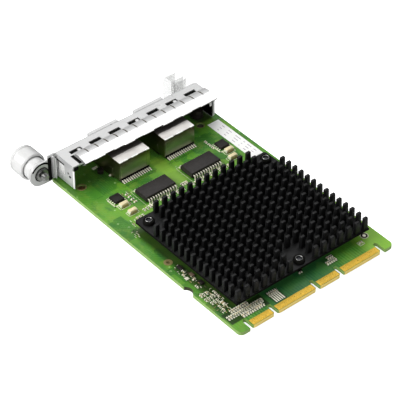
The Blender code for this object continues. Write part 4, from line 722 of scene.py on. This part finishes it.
def build_magnetics():
    """The two line transformers, each a split moulding with twelve leads on either side."""
    for side, centre in PORTS:
        low, high = in_millimetres(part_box(f"magnetics_{side}"))
        middle = (low.y + high.y) / 2
        bm = bmesh.new()
        box(bm, (centre - 7.45, middle - 3.6, 1.5), (centre + 7.45, middle + 3.6, 2.65), 0, 0.12, 2, 0.955)
        box(bm, (centre - 7.45, middle - 3.6, 0.45), (centre + 7.45, middle + 3.6, 1.52), 0, 0.1, 1)
        lathe(bm, [(0.0, 2.665), (0.45, 2.665), (0.5, 2.6)], 20,
              Matrix.Translation((centre - 6.2, middle - 2.5, 0)))
        body = piece(f"magnetics_{side}_body", bm, [PACKAGE])
        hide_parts(f"magnetics_{side}")
        bm = bmesh.new()
        for toward in (-1, 1):
            wall, knee, toe = 3.3, 4.2, 5.08
            lead = [(wall, 1.5), (knee, 1.5), (knee + 0.22, 1.3), (knee + 0.3, 0.35),
                    (knee + 0.45, 0.13), (toe, 0.13)]
            section = [(middle + toward * a, b) for a, b in ribbon(lead, 0.22)]
            near, far = sorted((middle + toward * 4.4, middle + toward * 5.4))
            for index in range(12):
                x = centre + (index - 5.5) * 1.2
                prism(bm, section, (x - 0.22, x + 0.22), turn=YZ)
                box(bm, (x - 0.32, near, 0.0), (x + 0.32, far, 0.1), 0, 0.03)
        piece(f"magnetics_{side}_leads", bm, [SOLDER])


def build_chips():
    """The two small chips with their leads and the four larger capacitors."""
    for side, (x, y) in SMALL_CHIPS:
        bm = bmesh.new()
        box(bm, (x - 2.25, y - 2.25, 0.15), (x + 2.25, y + 2.25, 1.25), 0, 0.1, 2, 0.93)
        for index in range(4):
            lead = y - 1.65 + index * 1.1
            for toward in (-1, 1):
                a, b = sorted((x + toward * 2.1, x + toward * 2.75))
                box(bm, (a, lead - 0.2, 0.0), (b, lead + 0.2, 0.3), 1, 0.04)
        made = piece(f"small_chip_{side}_body", bm, [CHIP, SOLDER])
        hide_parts(f"small_chip_{side}")
    for name in ("left_1", "left_2", "right_1", "right_2"):
        low, high = in_millimetres(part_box(f"capacitor_{name}"))
        bm = bmesh.new()
        # The cream top over the tan lower body is painted light: lighter on top, browner on the sides.
        box(bm, (low.x + 0.05, low.y, 0.08), (high.x - 0.05, high.y - 0.05, high.z - 0.6), 3, 0.1, 2)
        box(bm, (low.x + 0.05, low.y + 0.12, high.z - 0.85), (high.x - 0.05, high.y - 0.05, high.z),
            2, 0.28, 3)
        for a, b in ((low.x, low.x + 0.6), (high.x - 0.6, high.x)):
            box(bm, (a, low.y, 0.04), (b, high.y, high.z - 0.2), 1, 0.2, 2)
        made = piece(f"capacitor_{name}_body", bm, [BROWN_BODY, SOLDER, CREAM, TAN])
        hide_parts(f"capacitor_{name}")


def build_label():
    """Short grey strokes on the label, which spell nothing."""
    low, high = in_millimetres(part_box("label"))
    bm = bmesh.new()
    for y, length in ((75.5, 1.6), (78.6, 2.4), (82.4, 0.9), (85.0, 3.2), (90.6, 2.0), (95.0, 1.5)):
        for step in range(3):
            x = low.x + 1.2 + step * 1.5
            box(bm, (x, y, high.z), (x + 0.35, y + length * (0.6 + 0.2 * ((step * 7) % 3)), high.z + 0.01))
    piece("label_marks", bm, [PRINT])


# Jacks

def build_jack_extras():
    """Seams and springs on the shields, solder behind them and lenses beside the ports."""
    for side, centre in PORTS:
        low, high = in_millimetres(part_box(f"jack_shield_{side}"))
        bm = bmesh.new()
        for x in (low.x - 0.06, high.x - 0.06):
            box(bm, (x, low.y + 4.4, 0.4), (x + 0.12, low.y + 6.0, 4.2), 0, 0.03)
        box(bm, (low.x + 1.4, low.y - 0.08, 1.4), (low.x + 1.7, low.y, high.z - 0.5), 0, 0.02)
        box(bm, (high.x - 1.7, low.y - 0.08, 1.4), (high.x - 1.4, low.y, high.z - 0.5), 0, 0.02)
        # Dark brown bands under the rear wall's top edge: painted shade.
        for a, b, drop in ((-7.0, -2.8, 1.2), (-2.8, 0.6, 0.8), (0.6, 7.2, 0.5)):
            box(bm, (centre + a, low.y - 0.05, high.z - drop), (centre + b, low.y, high.z - 0.15), 1, 0.01)
        for a, b in ((-7.3, -7.05), (5.9, 6.0)):
            box(bm, (centre + a, low.y - 0.04, 0.8), (centre + b, low.y, high.z - 0.6), 1, 0.01)
        for a, b in ((-7.4, -3.2), (-1.4, 1.8), (5.6, 7.4)):
            box(bm, (centre + a, low.y - 0.1, high.z - 0.3), (centre + b, low.y + 0.5, high.z + 0.04),
                2, 0.04)
        piece(f"jack_{side}_seams", bm, [CHROME, SHADED, SPRING])
        bm = bmesh.new()
        for index in range(14):
            x = centre + (index - 6.5) * 1.019
            box(bm, (x - 0.22, low.y - 2.3, 0.0), (x + 0.22, low.y - 0.5, 0.3), 0, 0.06)
        # Black strips under and behind the tails: partly the housing's black moulding, partly a painted
        # shadow under the shield's rear wall.
        box(bm, (centre - 7.2, low.y - 1.9, 0.0), (centre + 7.2, low.y - 0.02, 0.07), 1, 0.02)
        box(bm, (centre - 7.1, low.y - 0.45, 0.0), (centre + 7.1, low.y - 0.02, 0.6), 1, 0.05)
        box(bm, (centre - 7.2, low.y - 0.07, 0.5), (centre + 7.2, low.y - 0.01, 1.15), 1, 0.01)
        piece(f"jack_{side}_solder", bm, [SOLDER, MATT])
        bm = bmesh.new()
        for a, b in ((centre - 5.7, centre - 3.5), (centre + 3.5, centre + 5.7)):
            box(bm, (a, 114.2, 5.8), (b, 115.62, 7.3), 0, 0.1)
        piece(f"jack_{side}_lenses", bm, [LENS])


# Springs

# How far each finger's end is moved along the card, negative towards the heat sink
FINGER_REACH = (-0.1, -0.3, 0.1, -0.2, -0.6, -0.2, -0.4, 0.0, -0.6, -0.3, -0.6, -0.3, -0.6, -0.5)
FINGER_PITCH = WINDOW_PITCH / 2
HOOKED_WINDOWS = (0, 3, 5)


def build_top_strip():
    """A row of crowned fingers, hooked in three of the bracket's windows."""
    low, high = in_millimetres(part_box("top_spring_strip"))
    root, end, floor, crown = FACE_REAR - 5.3, FACE_REAR - 13.1, 11.8, 0.79
    loose = root - 3.6
    path = [(root, floor)]
    for step in range(1, 12):
        share = step / 12
        path.append((root - share * (root - end), floor + crown * math.sin(math.pi * share ** 0.8)))
    path += [(end, floor - 0.12), (end + 0.25, floor - 0.45), (end + 1.0, floor - 1.05),
             (end + 1.9, floor - 1.85)]
    section = ribbon(path, -0.28)
    below = [(y, z - 0.1) for y, z in section if y > loose]
    bm = bmesh.new()
    x = low.x
    for reach in FINGER_REACH:
        right = min(x + FINGER_PITCH, high.x)
        near, far = x + (0.28 if x > low.x + 1 else 0.0), right - (0.28 if right < high.x else 0.0)
        before = set(bm.verts)
        prism(bm, section, (near, far), turn=YZ, bevel=0.07)
        for vert in set(bm.verts) - before:
            if vert.co.y < loose:
                notch = -0.3 if vert.co.y < end + 0.7 or vert.co.z < floor - 0.3 else 0.2
                vert.co.x += math.copysign(notch, vert.co.x - (near + far) / 2)
                vert.co.x = min(max(vert.co.x, low.x), high.x)
                vert.co.y += reach * min((loose - vert.co.y) / 3.0, 1.0)
        # A dark piece in each slit between the fingers: painted shadow.
        if right < high.x:
            prism(bm, below, (right - 0.4, right + 0.4), 2, turn=YZ)
        x += FINGER_PITCH
    bm.normal_update()
    for face in bm.faces:
        # Downward faces take the dark brown: painted shade on the underside; the flat part by the root is
        # grey sheet.
        if face.material_index == 0 and face.normal.z < -0.2:
            face.material_index = 2
        elif face.material_index == 0 and face.calc_center_median().y > root - 3.8:
            face.material_index = 1
    box(bm, (low.x, root - 1.2, floor + 0.02), (high.x, root, floor + 0.3), 1, bevel=0.05)
    for index in HOOKED_WINDOWS:
        x = WINDOW_FIRST + 1.0 + index * WINDOW_PITCH
        lathe(bm, [(0.0, floor + 0.42), (0.5, floor + 0.4), (0.75, floor + 0.28), (0.8, floor + 0.1),
                   (0.8, floor), (0.0, floor)], 24, Matrix.Translation((x, 109.2, 0)), 1)
        box(bm, (x - 0.6, root - 0.3, floor), (x + 0.6, 109.2, floor + 0.3), 1, bevel=0.05)
        # A dark hook: painted shade in the window.
        box(bm, (x - 0.7, 110.2, 10.4), (x + 0.7, 110.5, floor - 0.1), 2, bevel=0.05)
    made = piece("top_spring_fingers", bm, [SPRING, SHEET, SHADED], smooth=30)
    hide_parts("top_spring_strip")


def build_bracket_painted_light():
    """Dark plates painted as shade in the bracket's windows, open corners and gaps, and bright lips on its
    folds painted as highlights.
    """
    bm = bmesh.new()
    # Dark plates in the windows: painted shade behind them.
    for index in range(WINDOW_COUNT):
        x = WINDOW_FIRST + index * WINDOW_PITCH
        box(bm, (x - 2.74, 109.06, 10.0), (x + 2.74, 110.94, 11.28), bevel=0.1)
    # Dark strips at the strip's left end, the flange's rear corner, both sides of the faceplate's fold and
    # the side window's top edge: painted shade in gaps and corners.
    box(bm, (5.5, 102.4, 11.5), (6.9, 108.2, 11.58), bevel=0.02)
    box(bm, (2.6, 101.95, 9.4), (4.6, 102.18, 11.0), bevel=0.03)
    box(bm, (-1.5, 113.7, -0.6), (0.62, 113.82, 10.6), bevel=0.03)
    box(bm, (1.68, 113.6, -0.6), (2.28, 113.82, 9.6), bevel=0.03)
    box(bm, (2.27, 108.2, 8.7), (2.34, 113.0, 9.3), bevel=0.01)
    # A dark band on the ear's upper part and a dark ring round the screw: painted shade.
    outline = arc((SCREW_X, SCREW_Z), 5.3, 35, 150, 14) + arc((SCREW_X, SCREW_Z), 4.5, 150, 35, 14)
    prism(bm, outline, (-113.82, -113.72), turn=XZ)
    lathe(bm, [(2.65, 113.82), (2.65, 113.68), (3.15, 113.68), (3.15, 113.82), (2.65, 113.82)], 40, SCREW)
    for y, z, radius, index in ((105.9, 6.1, 0.45, 1), (104.7, 5.1, 0.55, 0)):
        lathe(bm, [(0.0, 2.34), (radius, 2.34), (radius, 2.24), (0.0, 2.24)], 20,
              Matrix.Translation((0, y, z)) @ ALONG_X, index)
    for y in (108.8, 109.8, 110.8, 111.8):
        box(bm, (2.75, y, 3.0), (3.38, y + 0.62, 8.7), 2, 0.05)
    # A bright bead on the faceplate's fold and a bright lip on the side flange's rear edge: painted
    # highlights.
    prism(bm, [(1.15, 113.82), (1.75, 113.82), (1.6, 112.4), (1.3, 112.4)], (-0.8, 9.7), 2)
    box(bm, (2.26, 101.8, 0.7), (2.6, 102.66, 9.3), 2, 0.05)
    # Right flange: a brown plate on its inner face and a dark strip are painted shade; the pale and bright
    # lips are painted highlights.
    box(bm, (72.6, 102.7, 0.9), (72.82, 113.4, 10.6), 4, 0.04)
    box(bm, (70.9, 102.3, 7.2), (71.9, 102.5, 10.95), 2, 0.04)
    box(bm, (72.3, 102.6, 1.6), (72.62, 102.9, 10.95), 0, 0.04)
    box(bm, (72.55, 102.05, 2.0), (73.35, 102.25, 10.4), 3, 0.05)
    piece("bracket_painted_light", bm, [MATT, GREY_STEEL, PAPER, KNOB, BROWN_BODY])


# Thumbscrew

def build_thumbscrew():
    """The knob with its grooved grip and its screw, the ferrule it slides in and its ring."""
    face = FACE_FRONT
    low, high = in_millimetres(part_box("thumbscrew"))
    rear, front, tip = face + 4.9, high.y, low.y
    ledge = front - 2.6
    profile = [(0.0, front - 0.25), (2.4, front - 0.2), (3.2, front), (4.6, front - 0.05),
               (5.3, front - 0.3), (5.75, front - 0.8), (5.9, front - 1.5), (5.9, ledge + 0.7),
               (5.55, ledge + 0.35), (5.55, ledge - 0.1), (5.85, ledge - 0.35)]
    grip = 14
    for step in range(grip + 1):
        height = ledge - 0.45 - step * (ledge - rear - 1.0) / grip
        profile.append((5.97 if step % 2 else 5.83, height))
    profile += [(5.9, rear + 0.3), (5.6, rear), (5.0, rear), (4.9, rear + 0.1), (4.9, ledge), (1.5, ledge),
                (1.5, 113.5), (1.05, 113.5), (1.05, 112.4), (1.5, 112.4)]
    turns = 6
    for step in range(turns + 1):
        height = 112.3 - step * 1.5 / turns
        profile.append((1.5 if step % 2 else 1.25, height))
    profile += [(1.05, tip), (0.0, tip)]
    bm = bmesh.new()
    lathe(bm, profile, 48, SCREW)
    # The knob's rear face by the ferrule is dark steel: a painted shadow line where it meets the collar; the
    # screw is grey steel.
    for ring_face in bm.faces:
        middle = ring_face.calc_center_median()
        if middle.y < 114.0:
            ring_face.material_index = 1
        elif middle.y < rear + 0.12 and math.hypot(middle.x - SCREW_X, middle.z - SCREW_Z) < 5.1:
            ring_face.material_index = 2
    made = piece("thumbscrew_turned", bm, [KNOB, GREY_STEEL, DARK_STEEL], "knob", 28)
    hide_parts("thumbscrew")
    bm = bmesh.new()
    lathe(bm, [(1.8, face + 5.4), (4.2, face + 5.4), (4.6, face + 5.1), (4.6, face + 1.6), (4.4, face + 1.4),
               (4.4, face + 1.1), (4.6, face + 0.9), (4.6, face + 0.3), (2.9, face + 0.3), (2.9, face - 0.8),
               (1.8, face - 0.8), (1.8, face + 5.4)], 48, SCREW)
    made = piece("screw_ferrule_turned", bm, [KNOB])
    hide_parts("screw_ferrule")
    bm = bmesh.new()
    lathe(bm, [(1.35, 113.5), (2.5, 113.5), (2.6, 113.4), (2.6, 113.1), (2.5, 113.0), (1.35, 113.0),
               (1.35, 113.5)], 40, SCREW)
    made = piece("retaining_ring_turned", bm, [GREY_STEEL], "screw_ring")
    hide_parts("retaining_ring")


# Pull tab

def build_pull_tab():
    """A bent clear strip with its two feet on the faceplate."""
    low, high = in_millimetres(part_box("pull_tab"))
    face, sheet, radius = 114.9, 0.9, 2.2
    outer, top, bottom = high.y - sheet, high.z - sheet, low.z + sheet
    path = [(face, top)] + arc((outer - radius, top - radius), radius, 90, 0, 10)
    path += arc((outer - radius, bottom + radius), radius, 0, -90, 10) + [(face, bottom)]
    bm = bmesh.new()
    prism(bm, ribbon(path, sheet), (low.x, high.x), turn=YZ, bevel=0.18, segments=2)
    for z0, z1 in ((top - 3.6, top + 0.4), (bottom - 0.4, bottom + 3.6)):
        box(bm, (low.x + 0.02, face, z0), (high.x - 0.02, face + sheet, z1), bevel=0.18, segments=2)
    for y in (120.5, 122.3):
        box(bm, (low.x + 0.1, y, bottom + 0.2), (high.x - 0.1, y + 0.35, top - 0.2), bevel=0.05)
    made = piece("pull_tab_strip", bm, [CLEAR], smooth=35)
    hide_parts("pull_tab")


build_heatsink()
build_push_pins()
build_contacts()
build_rings()
build_silkscreen()
build_small_parts()
build_magnetics()
build_chips()
build_label()
build_jack_extras()
build_top_strip()
build_bracket_painted_light()
build_thumbscrew()
build_pull_tab()

dress("circuit_board", BOARD)
dress("controller_chip", PACKAGE)
dress("thermal_pad", PAD)
dress("bracket", SHEET)
dress("bracket_screw_left", BROWN_STEEL)
dress("bracket_screw_right", SHADED)
for side in ("left", "right"):
    dress(f"jack_shield_{side}", CHROME)
    dress(f"jack_housing_{side}", MOULDED)
    dress(f"jack_contacts_{side}", GOLD)
    dress(f"jack_tails_{side}", SOLDER)
# The right spring is dark steel and the left grey: painted shade on the right one.
dress("side_spring_left", GREY_STEEL)
dress("side_spring_right", DARK_STEEL)
dress("bottom_spring_strip", SPRING)
dress("tab_rivet_upper", STEEL)
dress("tab_rivet_lower", STEEL)
dress("label", PAPER)


# Floor, light and camera

def build_floor():
    """A pale floor that is white to the camera and below clear plastic."""
    bm = bmesh.new()
    bmesh.ops.create_grid(bm, x_segments=1, y_segments=1, size=1.5)
    mesh = bpy.data.meshes.new("floor")
    bm.to_mesh(mesh)
    bm.free()
    made, tree, shader = material("pale_floor")
    shader.inputs["Base Color"].default_value = (0.75, 0.75, 0.75, 1)
    shader.inputs["Roughness"].default_value = 0.9
    shader.inputs["Specular IOR Level"].default_value = 0.1
    shader.inputs["Emission Color"].default_value = (1, 1, 1, 1)
    path = tree.nodes.new("ShaderNodeLightPath")
    seen = calc(tree, "MAXIMUM", path.outputs["Is Camera Ray"], path.outputs["Is Transmission Ray"])
    put(tree, shader, "Emission Strength", remap(tree, seen, 0.0, 1.0, 0.0, 1.0))
    mesh.materials.append(made)
    floor = bpy.data.objects.new("floor", mesh)
    bpy.context.scene.collection.objects.link(floor)
    floor.location.z = CAD_BOX[0][2] - 0.02 * MM


def area_light(name, place_at, target, size, power):
    """A soft rectangular lamp in metres that looks at its target."""
    data = bpy.data.lights.new(name, "AREA")
    data.shape = "RECTANGLE"
    data.size, data.size_y = size
    data.energy = power
    light = bpy.data.objects.new(name, data)
    light.location = place_at
    light.rotation_euler = (Vector(target) - Vector(place_at)).to_track_quat("-Z", "Y").to_euler()
    bpy.context.scene.collection.objects.link(light)


def build_light():
    area_light("key_left", (-0.6, 0.25, 0.5), (0, 0, 0), (0.5, 0.5), 6.2)
    area_light("top", (0.25, 0.2, 0.8), (0, 0, 0), (0.8, 0.8), 3.0)
    area_light("front", (-0.35, -0.75, 0.55), (0, 0, 0), (0.4, 0.4), 2.0)
    area_light("behind", (0.49, 0.59, 0.65), (0, 0, 0), (0.6, 0.6), 0.8)
    world = bpy.data.worlds.new("studio")
    world.use_nodes = True
    back = world.node_tree.nodes["Background"]
    back.inputs["Color"].default_value = (0.95, 0.97, 1.0, 1)
    back.inputs["Strength"].default_value = 0.15
    bpy.context.scene.world = world


PHOTO_WIDTH, SENSOR = 400, 36.0


def build_camera():
    """The photograph's viewpoint: a level camera, from its turn, height, distance and lens."""
    turn, height = math.radians(-39.6551), math.radians(40.2584)
    distance, focal = 781.8525, 2033.985
    across, up_shift = 18.6735, -9.7528
    back = Vector((math.sin(turn) * math.cos(height), -math.cos(turn) * math.cos(height), math.sin(height)))
    right = (-back).cross(Vector((0, 0, 1))).normalized()
    up = right.cross(-back)
    target = Vector((38.0, 57.5, 0.0))
    aside, above = across * distance / focal, up_shift * distance / focal
    centre = target - right * aside - up * above + back * distance
    data = bpy.data.cameras.new("camera")
    data.sensor_width = SENSOR
    data.lens = focal / PHOTO_WIDTH * SENSOR
    data.clip_start = 0.01
    camera = bpy.data.objects.new("camera", data)
    pose = Matrix((right, up, back)).transposed().to_4x4()
    pose.translation = ORIGIN + centre * MM
    camera.matrix_world = pose
    bpy.context.scene.collection.objects.link(camera)
    bpy.context.scene.camera = camera


build_floor()
build_light()
build_camera()
bpy.context.scene.view_settings.view_transform = "Standard"
